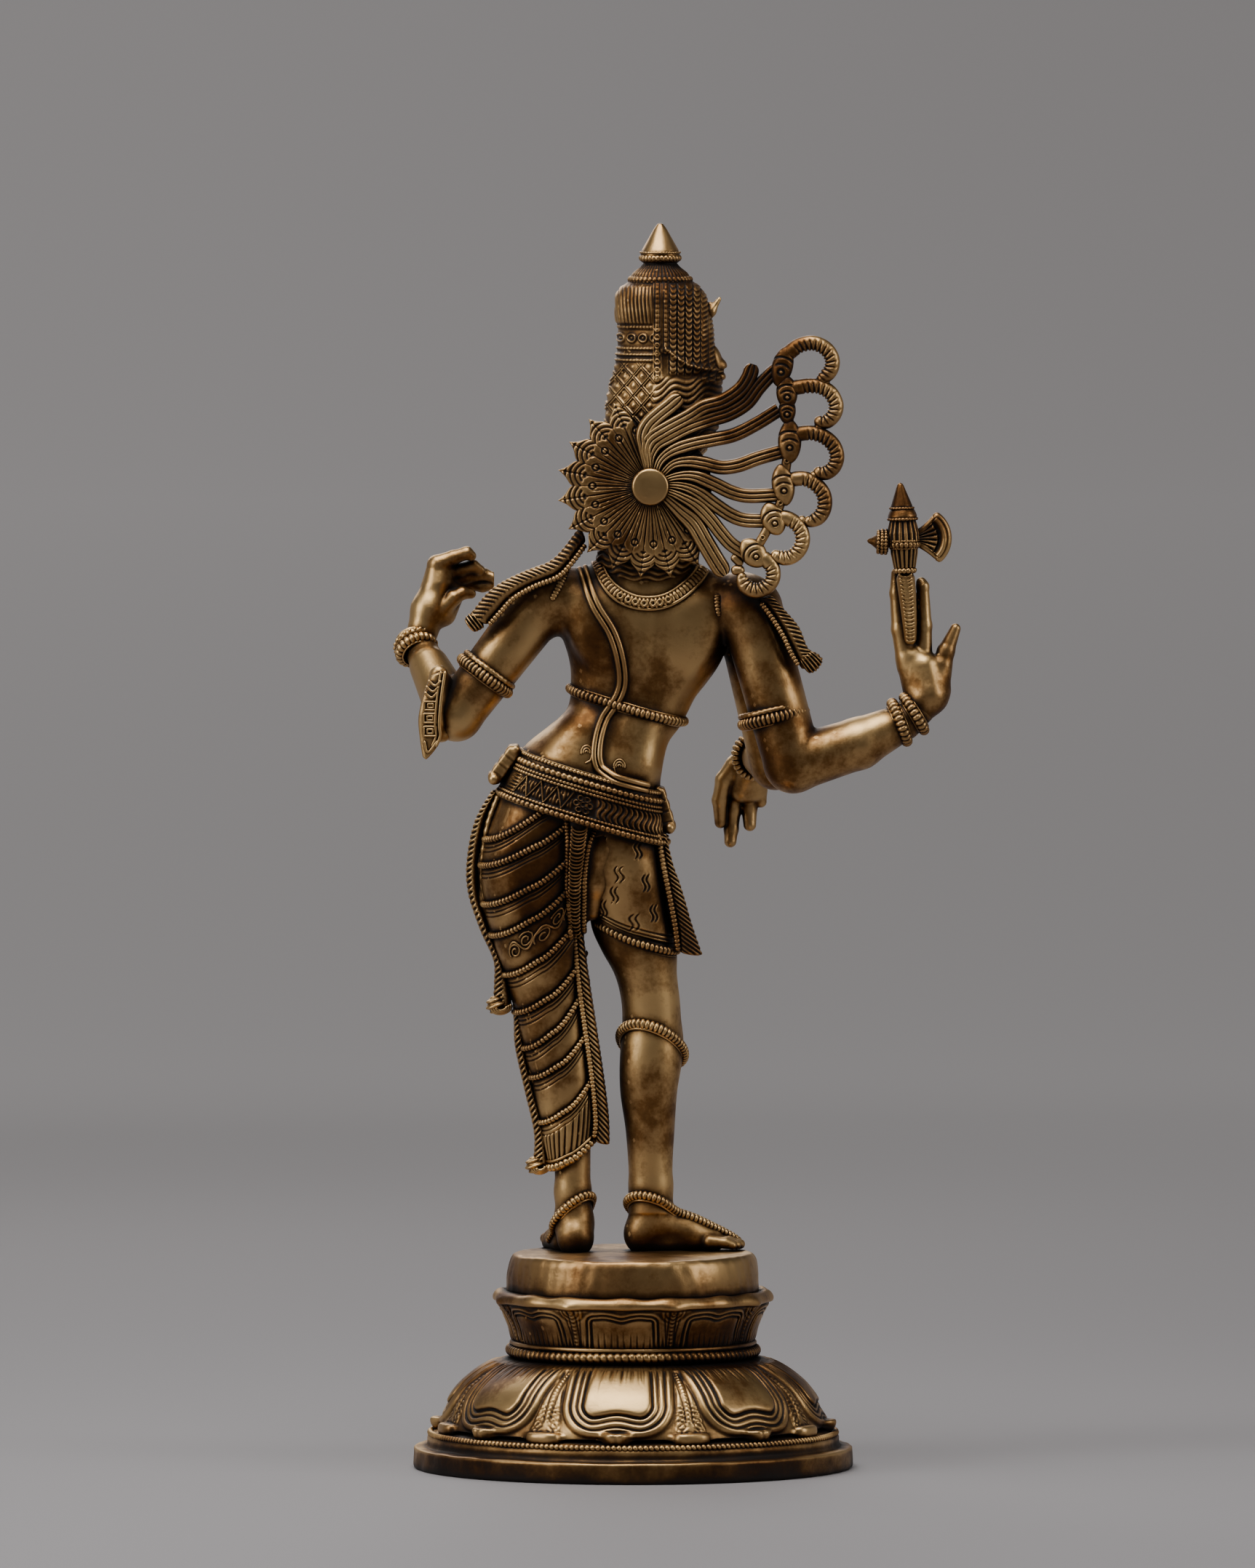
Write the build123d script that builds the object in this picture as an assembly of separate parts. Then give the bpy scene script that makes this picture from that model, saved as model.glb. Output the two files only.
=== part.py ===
from build123d import *
import os
from math import cos, pi, sin

# A standing brass figure on a round double lotus pedestal. All sizes are in millimetres.
# Origin: centre of the pedestal's underside. +Z is up, the figure faces -Y, its own left side is +X.

# Pedestal, from the floor up
PLATE_R, PLATE_TOP = 78.65, 7.6
STEP_R, STEP_TOP = 73.6, 14.8
STEP_ROPE_R = 0.9
HOLLOW_R = 64.0
BELL = [(68.9, 14.8), (68.9, 16.4), (67.1, 20.5), (64.5, 25.7), (60.8, 30.9), (54.3, 36.1), (46.4, 39.6)]
NECK_R = 42.6
WAIST_Z, WAIST_ROPE_R = 42.4, 1.9
CUP_BOTTOM, CUP_TOP, CUP_LIP_R = 45.0, 62.7, 49.2
SHELL = 5.0
PLINTH_R, PLINTH_TOP_R, PLINTH_TOP = 45.2, 43.6, 76.7
PLINTH_DECK = 6.0

# Skeleton points
HEAD = (-5.8, -8.0, 348.0)
HEAD_SIZE = (12.6, 15.2, 19.5)
NECK_LOW, NECK_HIGH, NECK_WIDTH = (-4.2, -5.5, 318.0), (-5.0, -6.5, 338.0), 8.4
CROWN_TILT_X = -9.6
LEFT_SHOULDER, LEFT_ELBOW, LEFT_WRIST = (32.5, -6.0, 310.5), (63.5, -4.0, 269.5), (77.0, -36.0, 292.0)
REAR_SHOULDER, REAR_ELBOW, REAR_WRIST = (-41.0, -1.5, 308.0), (-54.5, 3.0, 249.5), (-95.0, 0.5, 268.5)
FRONT_SHOULDER, FRONT_ELBOW = (-38.5, -13.0, 305.5), (-46.5, -18.0, 251.0)
FRONT_WRIST = (-40.5, -50.0, 257.5)
LEFT_ANKLE, LEFT_HEM = (21.7, -9.5, 88.0), (21.9, -9.5, 112.0)
RIGHT_HIP, RIGHT_KNEE, RIGHT_ANKLE = (0.5, -8.0, 205.0), (-6.6, -12.0, 152.0), (-6.2, -10.5, 95.0)

# Body sections: height, centre x, centre y, half width, half depth
TRUNK = [
    (230.0, 20.0, -7.5, 26.5, 16.5), (240.0, 18.5, -7.5, 27.0, 17.0), (250.0, 16.5, -7.5, 25.8, 16.0),
    (260.0, 11.5, -8.0, 23.8, 14.8), (270.0, 4.0, -8.5, 22.3, 14.2), (280.0, -1.5, -8.5, 24.0, 15.0),
    (291.0, -4.0, -8.0, 27.5, 16.3), (302.0, -4.5, -7.5, 31.0, 16.3), (312.0, -4.5, -6.5, 31.5, 14.5),
    (319.0, -4.5, -5.8, 24.0, 11.8), (324.0, -4.2, -5.6, 13.0, 9.6),
]
SKIRT = [
    (109.0, 22.6, -9.5, 8.2, 8.0), (122.0, 23.4, -9.5, 9.8, 9.4), (135.0, 24.8, -10.0, 11.0, 10.6),
    (148.0, 27.0, -10.5, 12.1, 11.7), (161.0, 28.9, -11.0, 13.0, 12.6), (174.0, 31.2, -10.5, 14.4, 13.8),
    (187.0, 33.8, -9.5, 16.1, 15.5), (200.0, 35.4, -8.0, 17.8, 17.2), (213.0, 35.6, -7.0, 18.9, 18.6),
    (226.0, 33.6, -7.0, 19.0, 19.2), (238.0, 30.0, -7.0, 18.4, 18.6),
]
SHORTS = [
    (184.0, -3.0, -9.0, 13.2, 13.5), (200.0, 1.2, -8.0, 14.4, 15.8), (213.0, 3.7, -7.0, 15.0, 17.6),
    (226.0, 4.8, -7.0, 14.6, 18.0), (238.0, 6.8, -7.0, 14.2, 17.0),
]
CROWN = [
    (360.5, -7.0, -8.0, 15.0, 14.8), (368.0, -9.0, -8.0, 18.5, 16.4), (374.0, -10.4, -8.0, 20.4, 16.6),
    (386.0, -11.0, -8.0, 20.6, 16.2), (395.0, -11.5, -8.0, 19.2, 15.2), (407.0, -11.6, -8.0, 17.2, 14.2),
    (420.0, -10.2, -8.0, 15.6, 13.4),
]

BREAST, BREAST_R = (10.5, -21.5, 296.5), 9.8

# Girdle and chest band: centre, half width, half depth, slope to the figure's right, height
GIRDLE = ((16.5, -7.3, 241.0), 29.4, 21.6, 16.7, 19.0)
CHEST_BAND = ((1.0, -8.4, 272.6), 23.2, 15.0, 16.0, 3.4)

# Halo
HALO_C, HALO_R, HALO_Y0, HALO_Y1 = (-6.1, 351.5), 29.5, 10.0, 12.6
PETALS, PETAL_TIP_R = 21, 32.6
BOSS_R, BOSS_Y = 6.8, 15.4
LOCK_W, LOCK_Y = 4.4, 13.2
LOCKS = [
    [(-0.5, 374.1), (-16.1, 386.4)],
    [(-3.9, 367.6), (-15.6, 378.0), (-28.6, 383.2), (-37.7, 387.1), (-42.6, 396.8)],
    [(-3.9, 365.0), (-18.2, 374.1), (-33.8, 378.0), (-44.2, 383.2), (-51.0, 390.3)],
    [(-7.8, 362.4), (-23.4, 370.2), (-36.4, 371.0), (-45.5, 375.4), (-52.0, 379.3)],
    [(-11.7, 358.5), (-23.4, 362.4), (-36.4, 359.8), (-46.8, 362.4), (-52.5, 365.0)],
    [(-13.0, 354.6), (-23.4, 355.9), (-33.8, 351.3), (-44.2, 348.1), (-49.9, 348.9)],
    [(-13.0, 351.3), (-22.1, 349.4), (-33.8, 341.6), (-44.2, 338.3)],
    [(-11.7, 346.8), (-23.4, 341.6), (-31.2, 332.5), (-39.0, 326.8)],
    [(-7.8, 344.2), (-18.2, 337.7), (-27.3, 327.3), (-33.3, 318.8)],
]
CHAIN = [(-53.8, 394.7), (-54.9, 385.0), (-55.6, 367.6), (-53.8, 352.0), (-49.7, 339.8), (-44.5, 327.9)]
CHAIN_R = 2.5
LOOPS = [
    (-61.9, 395.2, 6.6), (-62.9, 379.1, 6.8), (-62.4, 361.7, 7.3), (-59.3, 345.5, 6.8), (-52.0, 331.8, 6.2),
    (-43.2, 319.8, 5.2),
]
LOOP_R, LOOP_Y = 2.2, 13.2

# Hanging cloth and hair, as lines of points with a half thickness
LEFT_TASSEL = [(17.0, 4.0, 334.0), (25.5, 6.0, 325.0), (38.5, 3.5, 321.0), (49.0, 3.0, 314.0),
               (59.5, 2.5, 303.5)]
RIGHT_TASSEL = [(-44.0, 7.0, 316.0), (-52.5, 8.5, 302.0), (-59.5, 9.0, 293.5), (-64.5, 9.0, 289.0)]
OUTER_SASH = [(49.5, -6.0, 240.0), (57.0, -7.0, 223.0), (58.8, -8.0, 206.0), (54.0, -9.0, 189.0),
              (47.5, -9.0, 165.5),
              (41.0, -9.0, 143.0), (37.5, -9.0, 127.0), (36.5, -9.0, 107.5)]
INNER_SASH = [(17.5, 0.0, 196.0), (16.0, -1.0, 168.0), (14.0, -3.0, 148.0), (11.5, -5.0, 128.0),
              (9.2, -6.0, 115.5)]
RIGHT_SASH = [(-10.5, 3.0, 232.0), (-13.5, 2.0, 212.0), (-16.5, 1.0, 196.0), (-22.0, 0.0, 184.5)]
REAR_PANEL = [(21.5, 9.0, 240.0), (20.5, 9.5, 226.0), (18.5, 7.0, 211.0), (17.0, 3.0, 199.0)]
ELBOW_DRAPE = [(70.5, 2.5, 283.0), (72.0, 3.5, 268.0), (73.0, 3.0, 254.5)]
COLLAR = [(14.0, -1.5, 321.5), (7.8, 5.0, 313.5), (-3.9, 8.4, 309.0), (-15.6, 7.0, 310.5),
          (-26.5, -0.5, 318.5)]
COLLAR_R = 2.0

# The sacred thread down the back, as (x, z)
THREAD = [(15.0, 312.0), (9.5, 300.0), (5.0, 288.0), (4.0, 278.0), (8.5, 268.0), (12.5, 259.0),
          (12.0, 252.5)]
THREAD_R = 1.7


def oval(z, x, y, half_width, half_depth):
    """A horizontal oval face at height z."""
    return Pos(x, y, z) * Ellipse(half_width, half_depth)


def stack(sections):
    """A smooth solid through horizontal ovals."""
    return loft([oval(*section) for section in sections])


def along(a, b):
    """The plane at point a whose normal points to b."""
    return Plane(origin=a, z_dir=Vector(*b) - Vector(*a))


def limb(a, b, start_r, end_r):
    """A tapered rod from a to b with round ends."""
    length = (Vector(*b) - Vector(*a)).length
    lean = (start_r - end_r) / length
    rise = (1 - lean * lean) ** 0.5
    low = (start_r * rise, start_r * lean)
    high = (end_r * rise, length + end_r * lean)
    start_mid = (start_r * cos(pi / 4 - 0.5 * lean), -start_r * sin(pi / 4 - 0.5 * lean))
    end_mid = (end_r * cos(pi / 4 + 0.5 * lean), length + end_r * sin(pi / 4 + 0.5 * lean))
    bottom, top = (0, -start_r), (0, length + end_r)
    outline = [
        ThreePointArc(bottom, start_mid, low),
        Line(low, high),
        ThreePointArc(high, end_mid, top),
        Line(top, bottom),
    ]
    profile = Plane.XZ * make_face(outline)
    return along(a, b) * revolve(profile, Axis.Z)


def tube(points, half_thickness):
    """A round bar that follows a smooth line through points."""
    path = Spline(*points)
    section = Plane(origin=path @ 0, z_dir=path % 0) * Circle(half_thickness)
    return sweep(section, path=path)


def ring(centre, direction, radius, half_thickness):
    """A ring round centre, square to direction."""
    return Plane(origin=centre, z_dir=direction) * Torus(radius, half_thickness)


def on_back(x, z):
    """The point of the trunk's back at a place seen from behind."""
    for low, high in zip(TRUNK, TRUNK[1:]):
        if low[0] <= z <= high[0]:
            share = (z - low[0]) / (high[0] - low[0])
            cx, cy, rx, ry = (p + (q - p) * share for p, q in zip(low[1:], high[1:]))
            return (x, cy + ry * max(0.0, 1 - ((x - cx) / rx) ** 2) ** 0.5, z)
    return None


def between(a, b, share):
    """The point a given share of the way from a to b."""
    return tuple(p + (q - p) * share for p, q in zip(a, b))


def cuff(a, b, share, outer_r, height):
    """A band round the limb from a to b, at a share of its length."""
    return along(between(a, b, share), b) * chamfer(Cylinder(outer_r, height).edges(), 0.25 * height)


def turned(outline):
    """A solid turned about the vertical axis from an outline of (radius, height) points."""
    return revolve(Plane.XZ * make_face(Polyline(*outline, close=True)), Axis.Z)


def base_plate():
    return turned([(HOLLOW_R, 0), (PLATE_R - 0.6, 0), (PLATE_R, 0.8), (PLATE_R, PLATE_TOP),
                   (HOLLOW_R, PLATE_TOP)])


def upper_step():
    step = turned([(HOLLOW_R, PLATE_TOP), (STEP_R, PLATE_TOP), (STEP_R, STEP_TOP), (HOLLOW_R, STEP_TOP)])
    return step + Pos(0, 0, STEP_TOP) * Torus(STEP_R - 1.6, STEP_ROPE_R)


def lower_lotus():
    inside = [(radius - SHELL - 0.6, height - (0 if height < 16 else 4.2))
              for radius, height in reversed(BELL[1:])]
    inside = [(radius, max(height, STEP_TOP)) for radius, height in inside]
    neck = [(NECK_R, BELL[-1][1] + 0.6), (NECK_R, CUP_BOTTOM), (NECK_R - SHELL, CUP_BOTTOM)]
    return turned(BELL + neck + [(NECK_R - SHELL, inside[0][1])] + inside)


def waist_rope():
    return Pos(0, 0, WAIST_Z) * Torus(NECK_R + 1.2, WAIST_ROPE_R)


def upper_lotus():
    outside = [(NECK_R + 0.8, CUP_BOTTOM), (44.4, 50.0), (47.0, 55.5), (CUP_LIP_R, 59.0),
               (CUP_LIP_R, 61.5)]
    inside = [(PLINTH_R - 0.4, CUP_TOP), (NECK_R - SHELL, CUP_TOP), (NECK_R - SHELL, CUP_BOTTOM)]
    return turned(outside + [(CUP_LIP_R - 1.2, CUP_TOP)] + inside)


def plinth():
    deck_under = PLINTH_TOP - PLINTH_DECK
    inside = [(0, deck_under), (NECK_R - SHELL, deck_under), (NECK_R - SHELL, CUP_TOP)]
    return turned([(PLINTH_R, CUP_TOP), (PLINTH_TOP_R + 0.3, PLINTH_TOP - 1.2),
                   (PLINTH_TOP_R - 0.9, PLINTH_TOP),
                   (0, PLINTH_TOP)] + inside)


def above_deck(shape):
    """The part of a shape above the plinth's deck."""
    return split(shape, Plane(origin=(0, 0, PLINTH_TOP), z_dir=(0, 0, 1)), keep=Keep.TOP)


def left_foot():
    sole = limb((20.5, -7.0, 82.5), (25.0, -31.0, 80.0), 6.3, 4.6)
    return above_deck(sole)


def left_ankle():
    return limb(LEFT_ANKLE, LEFT_HEM, 6.4, 6.2)


def right_foot():
    sole = limb((-3.5, -11.0, 83.5), (-31.5, -16.0, 80.0), 6.9, 4.4)
    return above_deck(sole)


def right_leg():
    return limb(RIGHT_KNEE, RIGHT_ANKLE, 11.2, 7.4)


def right_thigh():
    return limb(RIGHT_HIP, RIGHT_KNEE, 12.4, 10.8)


def girdle():
    centre, half_width, half_depth, slope, height = GIRDLE
    band = Pos(0, 0, -height / 2) * extrude(Ellipse(half_width, half_depth), height)
    band = Pos(*centre) * Rot(0, -slope, 0) * band
    return band + side_clasp(46.5, 251.5, -36.0) + side_clasp(-11.6, 235.4, 17.0)


def chest_band():
    centre, half_width, half_depth, slope, height = CHEST_BAND
    band = Pos(0, 0, -height / 2) * extrude(Ellipse(half_width + 1.0, half_depth + 1.0), height)
    return Pos(*centre) * Rot(0, -slope, 0) * band


def side_clasp(x, z, lean):
    return Pos(x, -7.5, z) * Rot(0, lean, 0) * Box(5.6, 9.0, 15.0)


def torso():
    return stack(TRUNK) + Pos(*BREAST) * Sphere(BREAST_R)


def head():
    skull = Pos(*HEAD) * scale(Sphere(1), HEAD_SIZE)
    return skull + limb(NECK_LOW, NECK_HIGH, NECK_WIDTH, NECK_WIDTH)


def nape_hair():
    return Pos(-5.0, 2.0, 325.5) * scale(Sphere(1), (17.5, 9.0, 10.5))


def crown():
    outline = [(0, 420.0), (13.0, 420.0), (12.2, 423.6), (11.4, 426.0), (6.2, 428.6), (6.0, 430.8), (0, 430.8)]
    return stack(CROWN) + Pos(CROWN_TILT_X, -8.0, 0) * turned(outline)


def finial():
    outline = [(0, 430.8), (7.2, 430.8), (7.4, 432.3), (7.0, 434.2), (1.2, 444.2), (0, 445.0)]
    return Pos(CROWN_TILT_X, -8.0, 0) * turned(outline)


def brow_band():
    return Pos(HEAD[0] - 0.6, HEAD[1], 358.0) * extrude(Ellipse(15.4, 16.6), 4.2)


def crescent():
    return limb((-26.0, -8.0, 410.5), (-31.0, -8.0, 417.0), 2.6, 0.8)


def halo_disc():
    turn = 2 * pi / PETALS
    cx, cz = HALO_C
    edge = []
    for index in range(PETALS):
        for share, radius in ((0.0, HALO_R), (0.5, PETAL_TIP_R)):
            angle = (index + share) * turn
            edge.append((cx + radius * cos(angle), cz + radius * sin(angle)))
    face = Plane.XZ * make_face(Polyline(*edge, close=True))
    return Pos(0, HALO_Y1, 0) * extrude(face, HALO_Y1 - HALO_Y0)


def halo_boss():
    cx, cz = HALO_C
    pin = Pos(cx, 8.0, cz) * Rot(90, 0, 0) * Cylinder(2.4, 6.0)
    cap = Pos(cx, 0.5 * (HALO_Y1 + BOSS_Y), cz) * Rot(90, 0, 0) * Cylinder(BOSS_R, BOSS_Y - HALO_Y1)
    return cap + pin


def halo_locks():
    bars = [tube([(x, LOCK_Y, z) for x, z in line], LOCK_W / 2) for line in LOCKS]
    hub = Pos(HALO_C[0], LOCK_Y + 0.6, HALO_C[1]) * Rot(90, 0, 0) * Cylinder(11.5, 3.0)
    return hub + bars


def halo_chain():
    return tube([(x, LOCK_Y, z) for x, z in CHAIN], CHAIN_R)


def halo_loops():
    return [ring((x, LOOP_Y, z), (0, 1, 0), radius, LOOP_R) for x, z, radius in LOOPS]


def left_hand():
    palm = limb((76.8, -38.0, 296.0), (72.0, -43.0, 321.5), 5.4, 5.6)
    fingers = limb((71.5, -43.5, 323.0), (57.0, -46.0, 318.0), 4.6, 3.6)
    return palm + fingers


def rear_hand():
    palm = limb((-97.5, 0.5, 272.0), (-105.0, -0.5, 290.0), 5.6, 6.4)
    fingers = limb((-103.5, -0.5, 292.0), (-97.5, -1.0, 318.5), 5.6, 3.4)
    thumb = limb((-107.0, -0.5, 288.0), (-115.0, -1.5, 299.0), 3.8, 2.0)
    return palm + fingers + thumb


def front_hand():
    palm = limb((-40.0, -52.0, 256.0), (-38.0, -59.0, 243.0), 5.2, 6.2)
    fingers = limb((-37.5, -59.5, 241.0), (-36.0, -60.5, 227.0), 6.0, 3.8)
    return palm + fingers


def axe():
    low, high = (-98.6, 4.0, 297.0), (-96.6, 4.0, 325.0)
    outline = [(0, 0), (3.2, 0), (4.2, 4.0), (4.6, 10.5), (3.0, 13.5), (3.2, 16.0), (0.7, 29.5), (0, 30.0)]
    socket = Pos(-97.0, 4.0, 322.0) * Rot(0, 3, 0) * turned(outline)
    spike = limb((-92.5, 4.0, 329.5), (-84.5, 4.0, 332.0), 3.0, 1.0)
    blade_line = [(-98.0, 329.0), (-102.0, 329.5), (-108.8, 326.5), (-112.0, 330.0), (-112.3, 336.0),
                  (-107.5, 341.0),
                  (-102.0, 336.0), (-98.0, 336.0)]
    blade = Pos(0, 5.4, 0) * extrude(Plane.XZ * make_face(Polyline(*blade_line, close=True)), 2.8)
    return limb(low, high, 2.1, 2.2) + socket + spike + blade


def pieces():
    """Every piece with its name, each cut back by the ones before it so that neighbours only touch."""
    yield "base_plate", base_plate()
    yield "upper_step", upper_step()
    yield "lower_lotus", lower_lotus()
    yield "upper_lotus", upper_lotus()
    yield "plinth", plinth()
    yield "waist_rope", waist_rope()
    yield "left_foot", left_foot()
    yield "right_foot", right_foot()
    yield "torso", torso()
    yield "sari_skirt", stack(SKIRT)
    yield "short_garment", stack(SHORTS)
    yield "left_ankle", left_ankle()
    yield "right_thigh", right_thigh()
    yield "right_leg", right_leg()
    yield "head", head()
    yield "left_upper_arm", limb(LEFT_SHOULDER, LEFT_ELBOW, 10.4, 8.2)
    yield "left_forearm", limb(LEFT_ELBOW, LEFT_WRIST, 7.9, 5.4)
    yield "left_hand", left_hand()
    yield "rear_upper_arm", limb(REAR_SHOULDER, REAR_ELBOW, 10.4, 8.8)
    yield "rear_forearm", limb(REAR_ELBOW, REAR_WRIST, 8.6, 5.6)
    yield "rear_hand", rear_hand()
    yield "front_upper_arm", limb(FRONT_SHOULDER, FRONT_ELBOW, 9.6, 8.0)
    yield "front_forearm", limb(FRONT_ELBOW, FRONT_WRIST, 7.8, 5.4)
    yield "front_hand", front_hand()
    yield "axe", axe()
    yield "crown", crown()
    yield "finial", finial()
    yield "brow_band", brow_band()
    yield "crescent", crescent()
    yield "nape_hair", nape_hair()
    yield "halo_disc", halo_disc()
    yield "halo_boss", halo_boss()
    yield "halo_locks", halo_locks()
    yield "halo_chain", halo_chain()
    for index, loop in enumerate(halo_loops()):
        yield f"halo_loop_{index + 1}", loop
    yield "girdle", girdle()
    yield "chest_band", chest_band()
    yield "left_armlet", cuff(LEFT_SHOULDER, LEFT_ELBOW, 0.66, 11.0, 4.0)
    yield "left_bracelet", cuff(LEFT_ELBOW, LEFT_WRIST, 0.86, 8.0, 9.0)
    yield "rear_armlet", cuff(REAR_SHOULDER, REAR_ELBOW, 0.66, 11.6, 4.2)
    yield "rear_bracelet", cuff(REAR_ELBOW, REAR_WRIST, 0.9, 8.6, 7.0)
    yield "front_bracelet", cuff(FRONT_ELBOW, FRONT_WRIST, 0.86, 7.6, 4.0)
    yield "knee_ring", cuff(RIGHT_KNEE, RIGHT_ANKLE, 0.04, 12.8, 4.0)
    yield "right_anklet", cuff(RIGHT_KNEE, RIGHT_ANKLE, 0.96, 9.2, 3.6)
    yield "left_anklet", cuff(LEFT_HEM, LEFT_ANKLE, 0.72, 8.0, 3.4)
    yield "rear_panel", tube(REAR_PANEL, 4.2)
    yield "outer_sash", tube(OUTER_SASH, 3.6)
    yield "inner_sash", tube(INNER_SASH, 3.4)
    yield "right_sash", tube(RIGHT_SASH, 3.4)
    yield "back_collar", tube(COLLAR, COLLAR_R)
    yield "sacred_thread", tube([on_back(x, z) for x, z in THREAD], THREAD_R)
    yield "left_tassel", tube(LEFT_TASSEL, 2.8)
    yield "right_tassel", tube(RIGHT_TASSEL, 2.8)
    yield "elbow_drape", tube(ELBOW_DRAPE, 3.0)


def boxes_meet(a, b):
    low = all(p < q for p, q in zip(a.min, b.max))
    high = all(p < q for p, q in zip(b.min, a.max))
    return low and high


def largest(shape):
    """The main solid of a shape, without slivers that a cut has left."""
    return max(shape.solids(), key=lambda solid: solid.volume)


def build():
    done = []
    for name, shape in pieces():
        for other_box, other in done:
            if boxes_meet(shape.bounding_box(), other_box):
                shape = shape - other
        shape = largest(shape)
        done.append((shape.bounding_box(), shape))
        export_step(shape, f"parts/{name}.step")


os.makedirs("parts", exist_ok=True)
build()
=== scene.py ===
import math
import bpy
import numpy as np
import openvdb
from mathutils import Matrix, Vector
from mathutils.bvhtree import BVHTree


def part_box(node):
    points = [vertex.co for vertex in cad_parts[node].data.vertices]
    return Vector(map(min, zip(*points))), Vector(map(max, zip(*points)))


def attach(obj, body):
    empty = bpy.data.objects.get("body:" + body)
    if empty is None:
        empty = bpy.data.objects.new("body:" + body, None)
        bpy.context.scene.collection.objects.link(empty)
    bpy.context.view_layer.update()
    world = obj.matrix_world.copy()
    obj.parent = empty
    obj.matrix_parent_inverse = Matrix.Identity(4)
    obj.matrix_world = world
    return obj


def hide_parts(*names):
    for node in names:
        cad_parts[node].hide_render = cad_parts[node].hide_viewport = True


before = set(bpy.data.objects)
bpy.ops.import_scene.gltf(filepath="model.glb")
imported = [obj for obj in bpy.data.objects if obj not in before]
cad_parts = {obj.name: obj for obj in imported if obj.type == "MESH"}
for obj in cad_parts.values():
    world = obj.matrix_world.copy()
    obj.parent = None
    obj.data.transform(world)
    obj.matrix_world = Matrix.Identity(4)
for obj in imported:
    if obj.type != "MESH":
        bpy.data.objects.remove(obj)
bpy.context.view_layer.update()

# A standing brass figure on a round double lotus pedestal.
# Lengths below are millimetres in the part's frame: +Z up, the figure faces -Y, its left side is +X.
MM = 0.001
PI = math.pi
TAU = 2 * math.pi


def node_box(node):
    """Lowest and highest corner of a CAD node, in millimetres."""
    low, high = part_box(node)
    return np.array(low) / MM, np.array(high) / MM


# ---------------------------------------------------------------- meshes

def build_mesh(name, verts, faces):
    """A smooth mesh object from vertices in millimetres and a list of quad and triangle arrays."""
    mesh = bpy.data.meshes.new(name)
    faces = [f for f in faces if len(f)]
    loops = np.concatenate([f.ravel() for f in faces]).astype(np.int32)
    sizes = np.concatenate([np.full(len(f), f.shape[1]) for f in faces])
    starts = np.concatenate([[0], np.cumsum(sizes)[:-1]]).astype(np.int32)
    mesh.vertices.add(len(verts))
    mesh.vertices.foreach_set("co", (np.asarray(verts) * MM).astype(np.float32).ravel())
    mesh.loops.add(len(loops))
    mesh.loops.foreach_set("vertex_index", loops)
    mesh.polygons.add(len(sizes))
    mesh.polygons.foreach_set("loop_start", starts)
    mesh.update(calc_edges=True)
    mesh.validate()
    mesh.shade_smooth()
    obj = bpy.data.objects.new(name, mesh)
    bpy.context.scene.collection.objects.link(obj)
    return obj


def grid_faces(n, m, wrap_n=False, wrap_m=False, start=0):
    """Quads of an n by m grid of vertices."""
    i = np.arange(n if wrap_n else n - 1)
    j = np.arange(m if wrap_m else m - 1)
    a = (i[:, None] * m + j[None, :]).ravel()
    b = (i[:, None] * m + (j[None, :] + 1) % m).ravel()
    c = (((i[:, None] + 1) % n) * m + (j[None, :] + 1) % m).ravel()
    d = (((i[:, None] + 1) % n) * m + j[None, :]).ravel()
    return np.stack([a, d, c, b], 1) + start


def volume(points, quads):
    """Six times the volume inside closed quads, negative where they face inwards."""
    a, b, c, d = (points - points.mean(0))[quads.T]
    return float((a * (np.cross(b, c) + np.cross(c, d))).sum())


class Parts:
    """Collects sheets and tubes that become one mesh."""

    def __init__(self):
        self.verts, self.quads, self.count = [], [], 0

    def sheet(self, points, wrap_n=False, wrap_m=False):
        n, m = points.shape[:2]
        flat = points.reshape(-1, 3)
        quads = grid_faces(n, m, wrap_n, wrap_m, 0)
        if (wrap_n or wrap_m) and volume(flat, quads) < 0:
            quads = quads[:, ::-1]
        self.verts.append(flat)
        self.quads.append(quads + self.count)
        self.count += n * m
        return self

    def make(self, name):
        return build_mesh(name, np.concatenate(self.verts), [np.concatenate(self.quads)])


def unit(v):
    v = np.asarray(v, float)
    return v / np.maximum(np.linalg.norm(v, axis=-1, keepdims=True), 1e-9)


def smooth_line(points, step):
    """A Catmull-Rom line through points, at even steps."""
    p = np.asarray(points, float)
    ext = np.concatenate([2 * p[:1] - p[1:2], p, 2 * p[-1:] - p[-2:-1]])
    out = []
    t = np.linspace(0, 1, 24, endpoint=False)[:, None]
    for k in range(len(ext) - 3):
        a, b, c, d = ext[k:k + 4]
        out.append(0.5 * (2 * b + (c - a) * t + (2 * a - 5 * b + 4 * c - d) * t ** 2
                          + (3 * b - a - 3 * c + d) * t ** 3))
    dense = np.concatenate(out + [p[-1:]])
    return even_line(dense, step)


def even_line(dense, step):
    """The same line with its points at even steps."""
    length = np.concatenate([[0], np.cumsum(np.linalg.norm(np.diff(dense, axis=0), axis=1))])
    count = max(3, int(round(length[-1] / step)) + 1)
    s = np.linspace(0, length[-1], count)
    return np.stack([np.interp(s, length, dense[:, k]) for k in range(dense.shape[1])], 1)


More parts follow.
